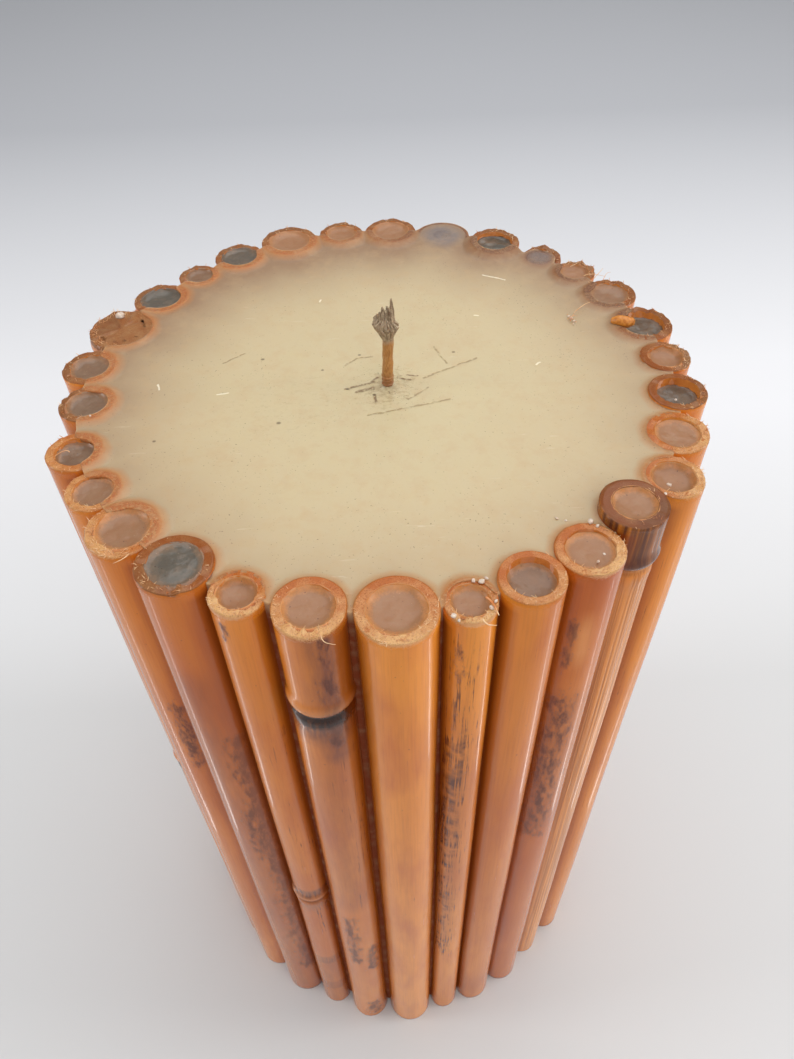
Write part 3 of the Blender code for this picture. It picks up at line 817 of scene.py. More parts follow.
rings = []
for share in inner_rows[1:]:
    rings.append((share * (lapped_edge - 8 * MM), np.full(SPOKES, wax_top)))
for back in outer_rows:
    rings.append((lapped_edge - back, np.full(SPOKES, wax_top)))
top_ring_count = len(rings)
rings.append((lapped_edge, np.full(SPOKES, wax_top - 0.7 * MM)))
rings.append((np.minimum(lapped_edge, walled_edge), np.full(SPOKES, wax_top - 2 * MM)))
for height in (160, 120, 80, 40, 12, 1.0):
    rings.append((walled_edge, np.full(SPOKES, height * MM)))
rings.append((walled_edge - 0.7 * MM, np.full(SPOKES, PILLAR_FOOT + 0.05 * MM)))
rings.append((np.full(SPOKES, 24 * MM), np.full(SPOKES, PILLAR_FOOT + 0.15 * MM)))
rings.append((np.full(SPOKES, 11.0 * MM), np.full(SPOKES, PILLAR_FOOT + 0.05 * MM)))
rings.append((np.full(SPOKES, 10.4 * MM), np.full(SPOKES, 0.5 * MM)))
rings.append((np.full(SPOKES, 10.3 * MM), np.full(SPOKES, 1.2 * MM)))
rings.append((np.full(SPOKES, 2.0 * MM), np.full(SPOKES, 1.3 * MM)))
rings.append((np.full(SPOKES, 1.95 * MM), np.full(SPOKES, 5.8 * MM)))

turns = np.linspace(0, 2 * pi, SPOKES, endpoint=False)
rows = [np.stack([wick_place.x + reach * np.cos(turns), wick_place.y + reach * np.sin(turns), height], axis=1)
        for reach, height in rings]
middle_top = [[wick_place.x, wick_place.y, wax_top]]
middle_foot = [[wick_place.x, wick_place.y, 5.8 * MM]]
points = np.concatenate([middle_top, *rows, middle_foot])
faces = []
for side in range(SPOKES):
    after = (side + 1) % SPOKES
    faces.append((0, 1 + side, 1 + after))
    for row in range(len(rings) - 1):
        start = 1 + row * SPOKES
        faces.append((start + side, start + SPOKES + side, start + SPOKES + after, start + after))
    last = 1 + (len(rings) - 1) * SPOKES
    faces.append((len(points) - 1, last + after, last + side))
pillar_mesh = bpy.data.meshes.new("wax_pillar_body")
pillar_mesh.from_pydata(points.tolist(), [], faces)

# How far every point is from the nearest cane, how high that cane draws the wax up, and where the bore
# of a drowned cane is painted as grey shade seen through the wax. The distance also sets how much
# painted glow of the cane's orange and painted shade the wax gets.
to_cane = np.full(len(points), 20.0)
climb = np.zeros(len(points))
drowned = np.zeros(len(points))
on_top = np.zeros(len(points))
on_top[:1 + SPOKES * (top_ring_count + 1)] = 1
for number, cane in canes.items():
    away = (np.hypot(points[:, 0] - cane["centre"].x, points[:, 1] - cane["centre"].y) - cane["radius"]) / MM
    out_x, out_y = cane["centre"].x, cane["centre"].y
    beyond = points[:, 0] * out_x + points[:, 1] * out_y > out_x ** 2 + out_y ** 2
    hidden_rim = {15: 3.5, 13: 1.6}.get(number, 0.0)
    to_cane = np.minimum(to_cane, away + np.where(beyond & (away > -0.6), 0.0, hidden_rim))
    if number == 15:
        share = np.clip((1.2 - away) / 3.0, 0, 1)
        climb = np.maximum(climb, share * 0.15)
        drowned = np.maximum(drowned, np.clip((-0.2 - away) / 2.4, 0, 1))
    elif number == 13:
        climb = np.maximum(climb, np.clip((0.6 - away) / 3.0, 0, 1) * 0.25)
        drowned = np.maximum(drowned, np.clip((-0.9 - away) / 2.0, 0, 1) * 0.8)
    elif number in LAPPED_CANES:
        share = np.clip((1.6 - away) / 2.0, 0, 1)
        share = share * share * (3 - 2 * share)
        climb = np.maximum(climb, share * max(0.0, (cane["top"] - wax_top) / MM + 0.12))
    else:
        climb = np.maximum(climb, 0.5 * np.exp(-np.maximum(away, 0) / 0.7))
for name, values in (("to_cane", to_cane), ("climb", climb), ("drowned", drowned), ("on_top", on_top)):
    keep_at_points(pillar_mesh, name, values)


def scratch(tree, x, y, start, end, width):
    """1 on a line from start to end, all in millimetres, fading to 0 at its sides."""
    run = (end[0] - start[0], end[1] - start[1])
    length = run[0] ** 2 + run[1] ** 2
    along = ((x - start[0]) * run[0] + (y - start[1]) * run[1]) / length
    along = along.ramp(0.0, 1.0)
    off_x = x - start[0] - along * run[0]
    off_y = y - start[1] - along * run[1]
    off = (off_x * off_x + off_y * off_y).by("SQRT")
    return 1.0 - off.ramp(width * 0.4, width)


def pillar_wax_material():
    """Old cream wax with soot, specks and scratches; painted shade makes it darker and pinker towards the canes, a
    painted glow of their orange lies beside them, and it is amber where it laps them.
    """
    material, tree, shader = new_material("cream wax")
    spot = object_place(tree, 1000.0, 1000.0)
    parts = put(tree, "ShaderNodeSeparateXYZ", {0: spot})
    x, y = Amount(tree, parts.outputs["X"]), Amount(tree, parts.outputs["Y"])
    away = kept(tree, "to_cane")
    cloud = noise_at(tree, spot, 16.0, 3.0)
    wobble = (noise_at(tree, spot, 3.0, 2.0) - 0.5) * 1.2

    from_wick = (((x - wick_place.x / MM) * (x - wick_place.x / MM))
                 + ((y - wick_place.y / MM) * (y - wick_place.y / MM))).by("SQRT")
    colour = mixed(tree, (cloud * 0.6 + from_wick / 60.0 - 0.2).ramp(0.0, 0.9), rgb(201, 186, 148), rgb(198, 178, 142))
    # Painted shade: the wax is darkened towards the canes and towards the back and the left, as the ring shades it.
    shaded = 1.0 - (away + wobble * 2.0 + y * -0.16 + x * 0.04).ramp(-4.0, 21.0)
    colour = mixed(tree, shaded * shaded * 0.95, colour, rgb(148, 116, 88))
    fibrous = noise_at(tree, spot, 0.45, 3.0, 0.65)
    # Painted glow: the canes' orange is painted into the wax beside them; over the lapped rims it is the wood seen
    # through thin wax.
    glow = 1.0 - (away + wobble * 0.7).ramp(-0.2, 1.4)
    # Painted shade: towards the back and right the amber and the rim wood are painted darker.
    back_shade = (y + x).ramp(30.0, 58.0)
    amber = mixed(tree, back_shade, rgb(186, 118, 54), rgb(142, 92, 50))
    colour = mixed(tree, glow * (fibrous * 0.5 + 0.5), colour, amber)
    wall = (1.0 - (away + (fibrous - 0.5) * 0.6).ramp(-0.35, 0.15)) * kept(tree, "on_top")
    brown = mixed(tree, back_shade, rgb(160, 84, 30), rgb(92, 50, 26))
    colour = mixed(tree, wall * fibrous.ramp(0.35, 0.6) * 0.85, colour, brown)
    colour = mixed(tree, wall * fibrous.ramp(0.58, 0.7) * 0.5, colour, rgb(226, 160, 98))
    # Painted shade: the hollow bore of a drowned cane, seen through the wax, is painted grey.
    colour = mixed(tree, kept(tree, "drowned") * 0.85, colour, rgb(126, 116, 112))
    # Painted shade: the pillar's sides, seen only in the gaps between the canes, are painted dark orange-brown.
    colour = mixed(tree, 1.0 - kept(tree, "on_top"), colour, rgb(132, 54, 8))

    soot_spot = put(tree, "ShaderNodeVectorMath", {0: spot, 1: (1.0, 1.6, 1.0)}, operation="MULTIPLY").outputs[0]
    smudge = noise_at(tree, soot_spot, 1.1, 6.0, 0.72)
    near_wick = 1.0 - from_wick.ramp(1.0, 7.5)
    left_low = (((x + 12.0) * (x + 12.0)) / 300.0 + ((y + 6.0) * (y + 6.0)) / 130.0).ramp(0.1, 1.0)
    soot = (smudge + near_wick * 0.2 - 0.60).ramp(0.0, 0.16) * near_wick.ramp(0.0, 0.4)
    soot = soot + (smudge - 0.54).ramp(0.0, 0.16) * (1.0 - left_low) * 0.55
    colour = mixed(tree, soot.ramp(0.0, 1.0) * 0.4, colour, rgb(132, 98, 58))
    speck = noise_at(tree, spot, 0.28, 1.0, 0.4)
    where = noise_at(tree, spot, 7.0, 2.0)
    specks = (speck + where * 0.14 + near_wick * 0.06).ramp(0.79, 0.86)
    colour = mixed(tree, specks * 0.6, colour, rgb(84, 60, 40))
    mottle = noise_at(tree, spot, 2.6, 4.0, 0.62)
    colour = mixed(tree, mottle.ramp(0.48, 0.75) * 0.35, colour, rgb(190, 158, 118))

    broken = noise_at(tree, spot, 0.6, 2.0).ramp(0.3, 0.55)
    wander = put(tree, "ShaderNodeSeparateXYZ", {0: noise_colour(tree, spot, 1.6)})
    wx = x + (Amount(tree, wander.outputs["X"]) - 0.5) * 0.7
    wy = y + (Amount(tree, wander.outputs["Y"]) - 0.5) * 0.7
    dark = 0.0
    thin = 0.0
    for start, end, width in (((-5.3, -2.1), (-0.6, -0.6), 0.3), ((-3.4, -3.0), (-0.8, -2.3), 0.42),
                              ((-0.9, -0.4), (0.1, 0.6), 0.35), ((-0.7, -3.9), (-0.4, -5.6), 0.28),
                              ((3.4, 0.2), (5.2, -0.4), 0.34), ((4.9, 1.0), (6.4, 0.6), 0.28)):
        line = scratch(tree, wx, wy, start, end, width)
        dark = line.by("MAXIMUM", dark)
    for start, end, width in (((7.5, 0.1), (16.4, 4.6), 0.26), ((-1.6, -8.8), (11.2, -5.8), 0.26),
                              ((-5.2, 4.3), (-3.2, 6.1), 0.24), ((-3.2, 6.1), (-0.7, 6.3), 0.2),
                              ((9.7, 8.2), (11.4, 3.6), 0.22), ((-25.5, 6.0), (-22.0, 8.6), 0.2),
                              ((8.0, -2.5), (4.6, -5.4), 0.2)):
        line = scratch(tree, wx, wy, start, end, width)
        thin = line.by("MAXIMUM", thin)
    colour = mixed(tree, dark * broken * 0.75, colour, rgb(106, 70, 34))
    colour = mixed(tree, thin * broken * 0.55, colour, rgb(130, 100, 58))
    # Single dark specks and pale nicks, each with its place and radius.
    for spot_x, spot_y, radius in ((-2.9, 6.9, 0.28), (-4.9, -2.1, 0.34), (-0.7, -3.9, 0.34), (-9.0, 3.2, 0.26),
                                   (12.8, 6.6, 0.3), (-19.0, 6.7, 0.36), (-15.5, -9.8, 0.4), (-34.0, -13.0, 0.3)):
        colour = mixed(tree, scratch(tree, x, y, (spot_x, spot_y), (spot_x + 0.1, spot_y), radius) * 0.7, colour,
                       rgb(84, 62, 38))
    for start, end in (((20.4, 29.9), (24.2, 27.8)), ((-35.4, 0.9), (-35.0, -0.4)), ((-9.7, 23.4), (-9.6, 24.0)),
                       ((-25.6, -2.2), (-24.0, -1.8)),
                       ((26.0, 2.0), (26.7, 2.6)), ((17.5, 17.0), (18.1, 16.8))):
        colour = mixed(tree, scratch(tree, wx, wy, start, end, 0.2) * 0.7, colour, rgb(246, 238, 214))
    scuff_place = put(tree, "ShaderNodeMapping", {"Vector": spot, "Rotation": (0, 0, 0.6), "Scale": (0.12, 1.0, 1.0)})
    scuff = noise_at(tree, scuff_place.outputs[0], 0.55, 3.0, 0.6).ramp(0.68, 0.74)
    colour = mixed(tree, scuff * cloud.ramp(0.45, 0.7) * 0.35, colour, rgb(240, 232, 208))
    feed(tree, shader.inputs["Base Color"], colour)

    hidden = 1.0 - kept(tree, "on_top")
    feed(tree, shader.inputs["Roughness"], cloud * 0.2 + soot * 0.1 + scuff * 0.15 + hidden * 0.5 + 0.30)
    feed(tree, shader.inputs["Subsurface Weight"], kept(tree, "on_top") * 0.7)
    shader.inputs["Subsurface Radius"].default_value = (1.0, 0.8, 0.6)
    shader.inputs["Subsurface Scale"].default_value = 2.0 * MM
    shader.inputs["Specular IOR Level"].default_value = 0.4
    dents = noise_at(tree, spot, 1.4, 3.0)
    relief = dents * 0.06 - dark * 0.15 - thin * 0.1 + scuff * 0.03 + specks * 0.03 + wall * fibrous * 0.5
    raise_surface(tree, shader, relief, 0.5)
    return material


def pool_tree(look):
    """Geometry nodes for the top of the pillar: the dish, its ripples, the climb at the canes."""
    tree = bpy.data.node_groups.new("wax pool", "GeometryNodeTree")
    tree.interface.new_socket(name="Pillar", in_out="OUTPUT", socket_type="NodeSocketGeometry")
    tree.interface.new_socket(name="Blank", in_out="INPUT", socket_type="NodeSocketGeometry")
    for name in ("Wick X", "Wick Y", "Dish", "Ripple", "Wick Climb"):
        tree.interface.new_socket(name=name, in_out="INPUT", socket_type="NodeSocketFloat")
    given = tree.nodes.new("NodeGroupInput")
    size = {slot.name: Amount(tree, slot) for slot in given.outputs if slot.name and slot.name != "Blank"}
    position = put(tree, "GeometryNodeInputPosition").outputs[0]
    spot = put(tree, "ShaderNodeSeparateXYZ", {0: position})
    x = Amount(tree, spot.outputs["X"]) - size["Wick X"]
    y = Amount(tree, spot.outputs["Y"]) - size["Wick Y"]
    from_wick = (x * x + y * y).by("SQRT")

    def stored(name):
        return Amount(tree, put(tree, "GeometryNodeInputNamedAttribute", {"Name": name}, data_type="FLOAT").outputs[0])

    open_wax = stored("to_cane").ramp(0.0, 6.0)
    ripple = (noise_at(tree, position, 11 * MM) - 0.5) * size["Ripple"] * open_wax
    fine = (noise_at(tree, position, 2.5 * MM) - 0.5) * size["Ripple"] * 0.25
    dish = from_wick.ramp(42 * MM, 6 * MM) * size["Dish"] * -1.0
    rise = (from_wick / (1.1 * MM) * -1.0).by("EXPONENT") * size["Wick Climb"]
    lift = stored("climb") * MM + ripple + fine + dish + rise
    moved = put(tree, "GeometryNodeSetPosition", {
        "Geometry": given.outputs["Blank"], "Offset": vector(tree, 0.0, 0.0, lift * stored("on_top"))})
    smooth = put(tree, "GeometryNodeSetShadeSmooth", {"Geometry": moved.outputs[0]})
    looked = put(tree, "GeometryNodeSetMaterial", {"Geometry": smooth.outputs[0], "Material": look})
    put(tree, "NodeGroupOutput", {0: looked.outputs[0]})
    return tree


def reshaped(name, mesh, tree, sizes):
    """Run a geometry tree on a mesh with these sizes and keep the result as a plain mesh object."""
    thing = bpy.data.objects.new(name, mesh)
    bpy.context.scene.collection.objects.link(thing)
    grow = thing.modifiers.new("grow", "NODES")
    grow.node_group = tree
    for item in tree.interface.items_tree:
        if item.in_out == "INPUT" and item.name in sizes:
            grow[item.identifier] = sizes[item.name]
    seen = bpy.context.evaluated_depsgraph_get()
    finished = bpy.data.meshes.new_from_object(
        thing.evaluated_get(seen), preserve_all_data_layers=True, depsgraph=seen)
    thing.modifiers.clear()
    thing.data = finished
    finished.name = name
    return thing


cream_wax = pillar_wax_material()
pillar = reshaped("wax_pillar_body", pillar_mesh, pool_tree(cream_wax), {
    "Wick X": wick_place.x, "Wick Y": wick_place.y, "Dish": 0.25 * MM, "Ripple": 0.25 * MM,
    "Wick Climb": 0.9 * MM})
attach(pillar, "root")
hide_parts("wax_pillar")

# ---------------------------------------------------------------- wax in the bores
# Wax filled the open canes too. It shrank as it set, so every plug is dished below the saw cut. Some
# plugs are clear of dust and look blue-grey and wet; others have gone pinkish brown and dull.
GREY_PLUGS = {28: 1.0, 8: 0.9, 10: 0.9, 14: 1.15, 19: 0.95, 21: 1.0, 23: 0.55, 24: 0.6, 25: 0.6, 27: 0.15, 3: 0.45,
              20: 0.5, 26: 0.25, 11: 0.3}
PLUG_DOMES = {28: 0.45, 19: 0.2, 14: 0.1}
# Most plugs wet the bore up to the saw cut; these stop short of it.
BRIMFUL = {3: 0.35, 4: 0.5, 7: 0.4, 8: 0.15, 10: 0.25, 14: 0.4, 25: 0.5, 26: 0.5}


def plug_tree(look):
    """Geometry nodes for one plug of wax: a rod whose top wets the bore and can film over the sawn wood."""
    tree = bpy.data.node_groups.new("bore wax", "GeometryNodeTree")
    tree.interface.new_socket(name="Plug", in_out="OUTPUT", socket_type="NodeSocketGeometry")
    for name in ("Centre X", "Centre Y", "Foot", "Top", "Rim", "Radius", "Film", "Dome", "Grey", "Seed"):
        tree.interface.new_socket(name=name, in_out="INPUT", socket_type="NodeSocketFloat")
    given = tree.nodes.new("NodeGroupInput")
    size = {slot.name: Amount(tree, slot) for slot in given.outputs if slot.name}
    sheet = put(tree, "GeometryNodeMeshGrid", {"Size X": 1.0, "Size Y": 1.0, "Vertices X": 49, "Vertices Y": 41})
    spot = put(tree, "ShaderNodeSeparateXYZ", {0: put(tree, "GeometryNodeInputPosition").outputs[0]})
    turn = (Amount(tree, spot.outputs["X"]) + 0.5) * (2 * pi)
    along = Amount(tree, spot.outputs["Y"]) + 0.5
    ring = vector(tree, turn.by("COSINE") + size["Seed"], turn.by("SINE"), size["Seed"])
    film = size["Film"] * (noise_at(tree, ring, 0.5, 3.0) * 2.2 - 0.1)
    film_share = along.ramp(0.3, 0.4) - along.ramp(0.4, 0.5)
    radius = size["Radius"] * (along.ramp(0.0, 0.1) - along.ramp(0.5, 1.0)) + film * film_share
    from_middle = radius / size["Radius"]
    place = vector(tree, radius * turn.by("COSINE") + size["Seed"], radius * turn.by("SINE"), size["Seed"])
    lumps = (noise_at(tree, place, 2.4 * MM, 2.0) - 0.5) * (0.4 * MM) * off_edge(from_middle)
    wet_edge = (from_middle.by("MINIMUM", 1.0) * 8.0 - 8.0).by("EXPONENT") * (size["Rim"] - size["Top"])
    dished = (1.0 - from_middle * from_middle).by("MAXIMUM", 0.0) * size["Dome"]
    on_top = along.ramp(0.3, 0.4)
    under = size["Foot"] + (size["Rim"] - size["Foot"] - 0.4 * MM) * along.ramp(0.1, 0.3)
    sunk = from_middle.ramp(1.0, 1.2) * (0.4 * MM)
    height = under * (1.0 - on_top) + (size["Top"] + wet_edge + dished + lumps - sunk) * on_top
    stored = keep_number(tree, sheet.outputs[0], "grey", size["Grey"])
    stored = keep_number(tree, stored, "from_middle", from_middle)
    shaped = put(tree, "GeometryNodeSetPosition", {
        "Geometry": stored,
        "Position": vector(tree, size["Centre X"] + radius * turn.by("COSINE"),
                           size["Centre Y"] + radius * turn.by("SINE"), height)})
    closed = put(tree, "GeometryNodeMergeByDistance", {"Geometry": shaped.outputs[0], "Distance": 0.000002})
    faced = put(tree, "GeometryNodeFlipFaces", {"Mesh": closed.outputs[0]})
    smooth = put(tree, "GeometryNodeSetShadeSmooth", {"Geometry": faced.outputs[0]})
    looked = put(tree, "GeometryNodeSetMaterial", {"Geometry": smooth.outputs[0], "Material": look})
    put(tree, "NodeGroupOutput", {0: looked.outputs[0]})
    return tree


def off_edge(from_middle):
    return 1.0 - from_middle.ramp(0.85, 1.0)


def plug_wax_material():
    """Wax in a bore: pinkish brown to blue-grey, dusty, with small bubbles."""
    material, tree, shader = new_material("bore wax")
    spot = object_place(tree)
    grey = kept(tree, "grey")
    cloud = noise_at(tree, spot, 2.2 * MM, 4.0, 0.6)
    colour = mixed(tree, (grey + (cloud - 0.5) * 0.5).ramp(0.0, 1.0), rgb(154, 108, 72), rgb(88, 82, 72))
    colour = mixed(tree, cloud.ramp(0.45, 0.75) * 0.25, colour, rgb(190, 150, 116))
    fibre = noise_at(tree, spot, 0.3 * MM, 3.0, 0.65)
    near_wood = (kept(tree, "from_middle") + (cloud - 0.5) * 0.35 + (fibre - 0.5) * 0.3).ramp(0.74, 1.02)
    at_back = Amount(tree, put(tree, "ShaderNodeSeparateXYZ", {0: spot}).outputs["Y"]).ramp(-0.02, 0.03)
    near_wood = near_wood * (1.0 - grey.ramp(0.0, 1.0) * 0.8) * (1.0 - at_back * 0.6)
    colour = mixed(tree, near_wood, colour, rgb(206, 138, 78))
    over_wood = (kept(tree, "from_middle") + (fibre - 0.5) * 0.2).ramp(0.98, 1.12)
    colour = mixed(tree, over_wood * (fibre * 0.8 + 0.4) * (1.0 - grey * 0.6), colour, rgb(176, 88, 30))
    dust = noise_at(tree, spot, 0.3 * MM, 3.0, 0.6).ramp(0.68, 0.76)
    colour = mixed(tree, dust * 0.35, colour, rgb(214, 190, 164))
    speck = noise_at(tree, spot, 0.4 * MM, 1.0).ramp(0.74, 0.78)
    colour = mixed(tree, speck * 0.7, colour, rgb(74, 42, 30))
    feed(tree, shader.inputs["Base Color"], colour)
    feed(tree, shader.inputs["Roughness"], grey * -0.14 + dust * 0.2 + 0.36)
    let_light_in(shader, 0.35, (1.0, 0.6, 0.4), 1.0 * MM)
    bump = put(tree, "ShaderNodeBump", {
        "Strength": 0.5, "Distance": MM, "Height": cloud * 0.25 + dust * 0.05 - speck * 0.06 + over_wood * fibre * 0.3})
    feed(tree, shader.inputs["Normal"], bump.outputs[0])
    return material


bore_wax = plug_wax_material()
bore_tree = plug_tree(bore_wax)
for number in CANE_NUMBERS:
    if number in FLOODED_CANES or number in KNOT_OF_SOLID_CANE:
        continue
    name = f"bore_wax_{number:02d}"
    low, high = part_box(name)
    cane = canes[number]
    brimful = BRIMFUL.get(number, 1.0)
    grey = GREY_PLUGS.get(number, 0.0)
    plug = grown(f"{name}_plug", bore_tree, {
        "Centre X": cane["centre"].x, "Centre Y": cane["centre"].y, "Foot": low.z, "Top": high.z,
        "Rim": high.z + (cane["top"] + 0.04 * MM - high.z) * brimful,
        "Film": (0.4 + 0.4 * grey) * (cane["radius"] - cane["bore"]) if brimful == 1.0 else 0.0,
        "Radius": cane["bore"] + 0.08 * MM, "Dome": PLUG_DOMES.get(number, -0.15) * MM,
        "Grey": grey, "Seed": number * 0.211})
    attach(plug, "root")
    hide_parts(name)

# ---------------------------------------------------------------- crumbs and threads
# Sawing and handling left crumbs of dry wax on the rims, and loose fibres of cane and lint stuck to
# the pool. A thick golden splinter lies inside one cane, and a lump of wax lies on another; it is lilac,
# but is drawn in the same pale dry wax as the crumbs.
# Each crumb: its place on the pool and its size, in millimetres.
CRUMBS = (
    (27.5, -34.3, 1.0, 0.46), (28.3, -35.0, 0.9, 0.28), (23.4, -32.6, 0.1, 0.22), (24.4, -33.1, 0.1, 0.15),
    (11.9, -43.4, 0.7, 0.43), (10.9, -43.1, 0.6, 0.31), (12.6, -42.8, 0.6, 0.25), (7.9, -48.5, 0.7, 0.4),
    (8.5, -49.2, 0.6, 0.25), (27.3, -40.8, 0.4, 0.25), (28.2, -39.6, 0.5, 0.19), (12.7, -47.6, 0.7, 0.37),
    (13.3, -46.6, 0.7, 0.31), (33.9, 14.2, 0.3, 0.31), (34.3, 13.4, 0.3, 0.25), (33.6, 14.9, 0.3, 0.19),
    (34.0, 12.8, 0.2, 0.19), (-44.9, 20.6, 0.5, 1.0), (-44.4, -7.3, 0.8, 0.19),
    (39.7, -28.0, 0.9, 0.37), (38.7, -29.6, 0.8, 0.28), (45.6, -9.5, 0.8, 0.19),
)
# Each fibre: its two ends, its height over the pool and its thickness.
FIBRES = (
    ((35.0, 16.0), (38.0, 18.6), 0.5, 0.07), ((33.6, 13.2), (35.2, 16.4), 0.35, 0.06),
    ((34.6, 13.0), (33.4, 15.6), 0.3, 0.05), ((33.2, 13.8), (35.0, 14.6), 0.35, 0.05),
    ((40.2, 26.0), (42.6, 29.4), 0.7, 0.06), ((38.6, 27.2), (42.4, 26.6), 0.6, 0.06),
    ((41.6, 25.0), (43.6, 27.6), 0.8, 0.05), ((36.8, 30.6), (39.6, 33.0), 0.6, 0.05),
    ((12.2, -46.2), (13.4, -49.0), 1.0, 0.18), ((11.4, -49.4), (13.0, -50.4), 0.9, 0.12),
    ((-31.4, -39.8), (-29.6, -41.6), 0.7, 0.1), ((-33.6, -36.0), (-35.4, -37.6), 0.7, 0.09),
    ((-45.8, -15.4), (-47.8, -16.2), 0.7, 0.09), ((-8.2, -50.6), (-6.4, -52.0), 0.8, 0.07),
)


def crumb_tree(look):
    """Geometry nodes that set a lump of wax on every point, as large as the point says."""
    tree = bpy.data.node_groups.new("wax crumbs", "GeometryNodeTree")
    tree.interface.new_socket(name="Crumbs", in_out="OUTPUT", socket_type="NodeSocketGeometry")
    tree.interface.new_socket(name="Places", in_out="INPUT", socket_type="NodeSocketGeometry")
    tree.interface.new_socket(name="Roughness", in_out="INPUT", socket_type="NodeSocketFloat")
    given = tree.nodes.new("NodeGroupInput")
    lump = put(tree, "GeometryNodeMeshUVSphere", {"Segments": 9, "Rings": 6, "Radius": 1.0})
    across = put(tree, "GeometryNodeInputNamedAttribute", {"Name": "across"}, data_type="FLOAT")
    turn = put(tree, "FunctionNodeRandomValue", {"Min": (-0.3, -0.3, 0.0), "Max": (0.3, 0.3, 2 * pi), "Seed": 9},
               data_type="FLOAT_VECTOR")
    width = Amount(tree, across.outputs[0])
    set_down = put(tree, "GeometryNodeInstanceOnPoints", {
        "Points": given.outputs["Places"], "Instance": lump.outputs[0], "Rotation": turn.outputs[0],
        "Scale": vector(tree, width, width * 0.8, width * 0.6)})
    real = put(tree, "GeometryNodeRealizeInstances", {"Geometry": set_down.outputs[0]})
    spot = put(tree, "GeometryNodeInputPosition").outputs[0]
    lumps = put(tree, "ShaderNodeVectorMath", {0: noise_colour(tree, spot, 0.5 * MM), 1: (-0.5, -0.5, -0.5)},
                operation="ADD")
    push = put(tree, "ShaderNodeVectorMath", {0: lumps.outputs[0], 3: given.outputs["Roughness"]},
               operation="SCALE")
    rough = put(tree, "GeometryNodeSetPosition", {"Geometry": real.outputs[0], "Offset": push.outputs[0]})
    smooth = put(tree, "GeometryNodeSetShadeSmooth", {"Geometry": rough.outputs[0]})
    looked = put(tree, "GeometryNodeSetMaterial", {"Geometry": smooth.outputs[0], "Material": look})
    put(tree, "NodeGroupOutput", {0: looked.outputs[0]})
    return tree


dry_wax, tree, shader = new_material("dry wax")
powder = noise_at(tree, object_place(tree), 0.5 * MM, 3.0, 0.6)
colour = mixed(tree, powder.ramp(0.3, 0.7), rgb(186, 160, 142), rgb(232, 216, 198))
feed(tree, shader.inputs["Base Color"], colour)
shader.inputs["Roughness"].default_value = 0.45
let_light_in(shader, 0.4, (1.0, 0.8, 0.6), 0.6 * MM)

crumb_mesh = bpy.data.meshes.new("wax_crumbs")
crumb_mesh.from_pydata([(x * MM, y * MM, wax_top + above * MM) for x, y, above, across in CRUMBS], [], [])
layer = crumb_mesh.attributes.new("across", "FLOAT", "POINT")
layer.data.foreach_set("value", [across * MM for x, y, above, across in CRUMBS])
crumbs = reshaped("wax_crumbs", crumb_mesh, crumb_tree(dry_wax), {"Roughness": 0.6 * MM})
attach(crumbs, "root")

paths = []
for start, end, above, thick in FIBRES:
    bend = random_place.uniform(-0.5, 0.5, 3)
    path = []
    for share in np.linspace(0, 1, 9):
        arch = 4 * share * (1 - share)
        path.append((((start[0] + (end[0] - start[0]) * share + bend[0] * arch) * MM,
                      (start[1] + (end[1] - start[1]) * share + bend[1] * arch) * MM,
                      wax_top + (above + abs(bend[2]) * arch) * MM), thick * (1 - 0.6 * share) * MM))
    paths.append(path)
lint = strands("loose_fibres", paths, torn_fibre, 0.2 * MM)
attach(lint, "root")

amber_wood, tree, shader = new_material("amber splinter")
grain = noise_at(tree, object_place(tree, 1.0, 1.0), 0.5 * MM, 3.0, 0.6)
colour = mixed(tree, grain.ramp(0.3, 0.7), rgb(176, 98, 26), rgb(226, 150, 62))
feed(tree, shader.inputs["Base Color"], colour)
shader.inputs["Roughness"].default_value = 0.35
splinter_path = []
for share in np.linspace(0, 1, 12):
    splinter_path.append((((40.6 + 3.4 * share) * MM, (12.4 - 1.6 * share) * MM,
                           wax_top + (0.7 + 0.5 * share) * MM), (0.55 + 0.5 * sin(share * pi)) * MM))
splinter = strands("golden_splinter", [splinter_path], amber_wood, 0.6 * MM)
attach(splinter, "root")

# ---------------------------------------------------------------- floor, light and camera
# A pale sweep under soft studio light: a large lamp above and behind, and a tall card on each side.
# The camera looks down from the front at the angle a hand would hold it.
floor_mesh = bpy.data.meshes.new("floor")
floor_mesh.from_pydata([(-4, -4, 0), (4, -4, 0), (4, 4, 0), (-4, 4, 0)], [], [(0, 1, 2, 3)])
floor = set_down("floor", floor_mesh)
paper, tree, shader = new_material("white paper")
away_y = Amount(tree, put(tree, "ShaderNodeSeparateXYZ", {0: object_place(tree)}).outputs["Y"])
# Painted light falloff: the floor is greyer up to 5 cm behind the candle, around and in front of it too, whitest 20 to
# 24 cm back, and greyer again further back.
colour = mixed(tree, away_y.ramp(0.05, 0.2), rgb(211, 212, 212), rgb(232, 232, 234))
feed(tree, shader.inputs["Base Color"], mixed(tree, away_y.ramp(0.24, 0.56), colour, rgb(191, 192, 196)))
shader.inputs["Roughness"].default_value = 0.8
floor_mesh.materials.append(paper)

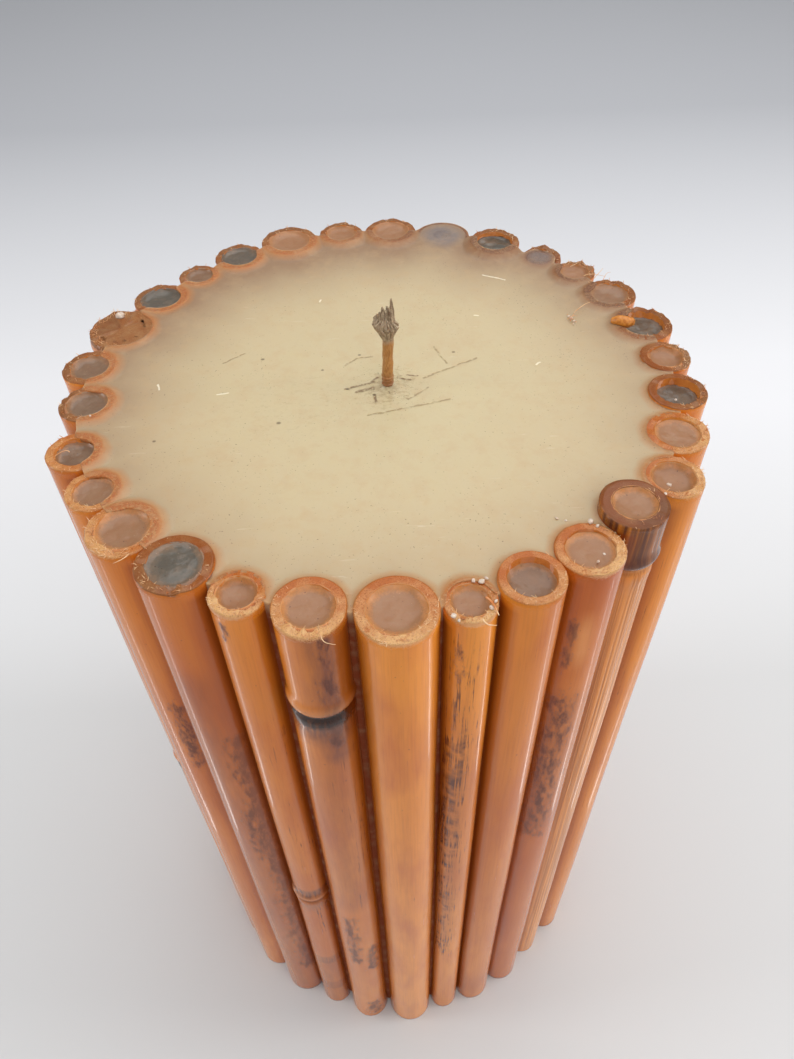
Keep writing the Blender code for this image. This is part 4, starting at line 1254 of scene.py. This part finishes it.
world = bpy.data.worlds.new("studio")
world.use_nodes = True
world.node_tree.nodes["Background"].inputs["Color"].default_value = (0.95, 0.97, 1.0, 1.0)
world.node_tree.nodes["Background"].inputs["Strength"].default_value = 0.37
bpy.context.scene.world = world


def lamp(name, place, target, width, height, power, tint=(1, 1, 1)):
    """A soft rectangular lamp, aimed at a point."""
    light = bpy.data.lights.new(name, "AREA")
    light.shape = "RECTANGLE"
    light.size = width
    light.size_y = height
    light.energy = power
    light.color = tint
    thing = bpy.data.objects.new(name, light)
    bpy.context.scene.collection.objects.link(thing)
    thing.location = place
    thing.rotation_euler = (Vector(target) - Vector(place)).to_track_quat("-Z", "Y").to_euler()
    return thing


lamp("lamp_above", (0.15, 0.15, 1.0), (0, 0, 0.15), 1.2, 1.2, 8)
lamp("lamp_front", (0.25, -0.9, 0.75), (0, 0, 0.1), 0.8, 0.6, 2.8)
lamp("card_left", (-0.8, -0.05, 0.25), (0, 0, 0.1), 0.2, 0.9, 2.4)
lamp("card_right", (0.8, -0.05, 0.25), (0, 0, 0.1), 0.2, 0.9, 2.8)
# A thin strip beside each foot puts a crisp line of light on the oiled skins.
for name, place in (("strip_left", (-0.15, -0.042, 0.003)), ("strip_right", (0.15, -0.042, 0.003))):
    strip = lamp(name, place, (place[0], place[1], 1.0), 0.14, 0.006, 0.009)
    strip.rotation_euler = (pi, 0, 0)
    strip.visible_camera = False
    strip.visible_diffuse = False

DOWN = radians(47.40)
ROUND = radians(-1.257)
TILT = radians(-1.698)
side = Vector((cos(ROUND), sin(ROUND), 0))
ahead = Vector((-sin(ROUND) * cos(DOWN), cos(ROUND) * cos(DOWN), -sin(DOWN)))
upward = side.cross(ahead)
tilted_side = side * cos(TILT) + upward * sin(TILT)
tilted_up = upward * cos(TILT) - side * sin(TILT)
view = Matrix((tilted_side, tilted_up, -ahead)).transposed().to_4x4()
view.translation = (0.0, -0.1098, 0.2613)
camera = set_down("camera", bpy.data.cameras.new("camera"))
camera.data.lens = 28.6
camera.data.sensor_width = 36
camera.data.clip_start = 0.01
camera.matrix_world = view
bpy.context.scene.camera = camera
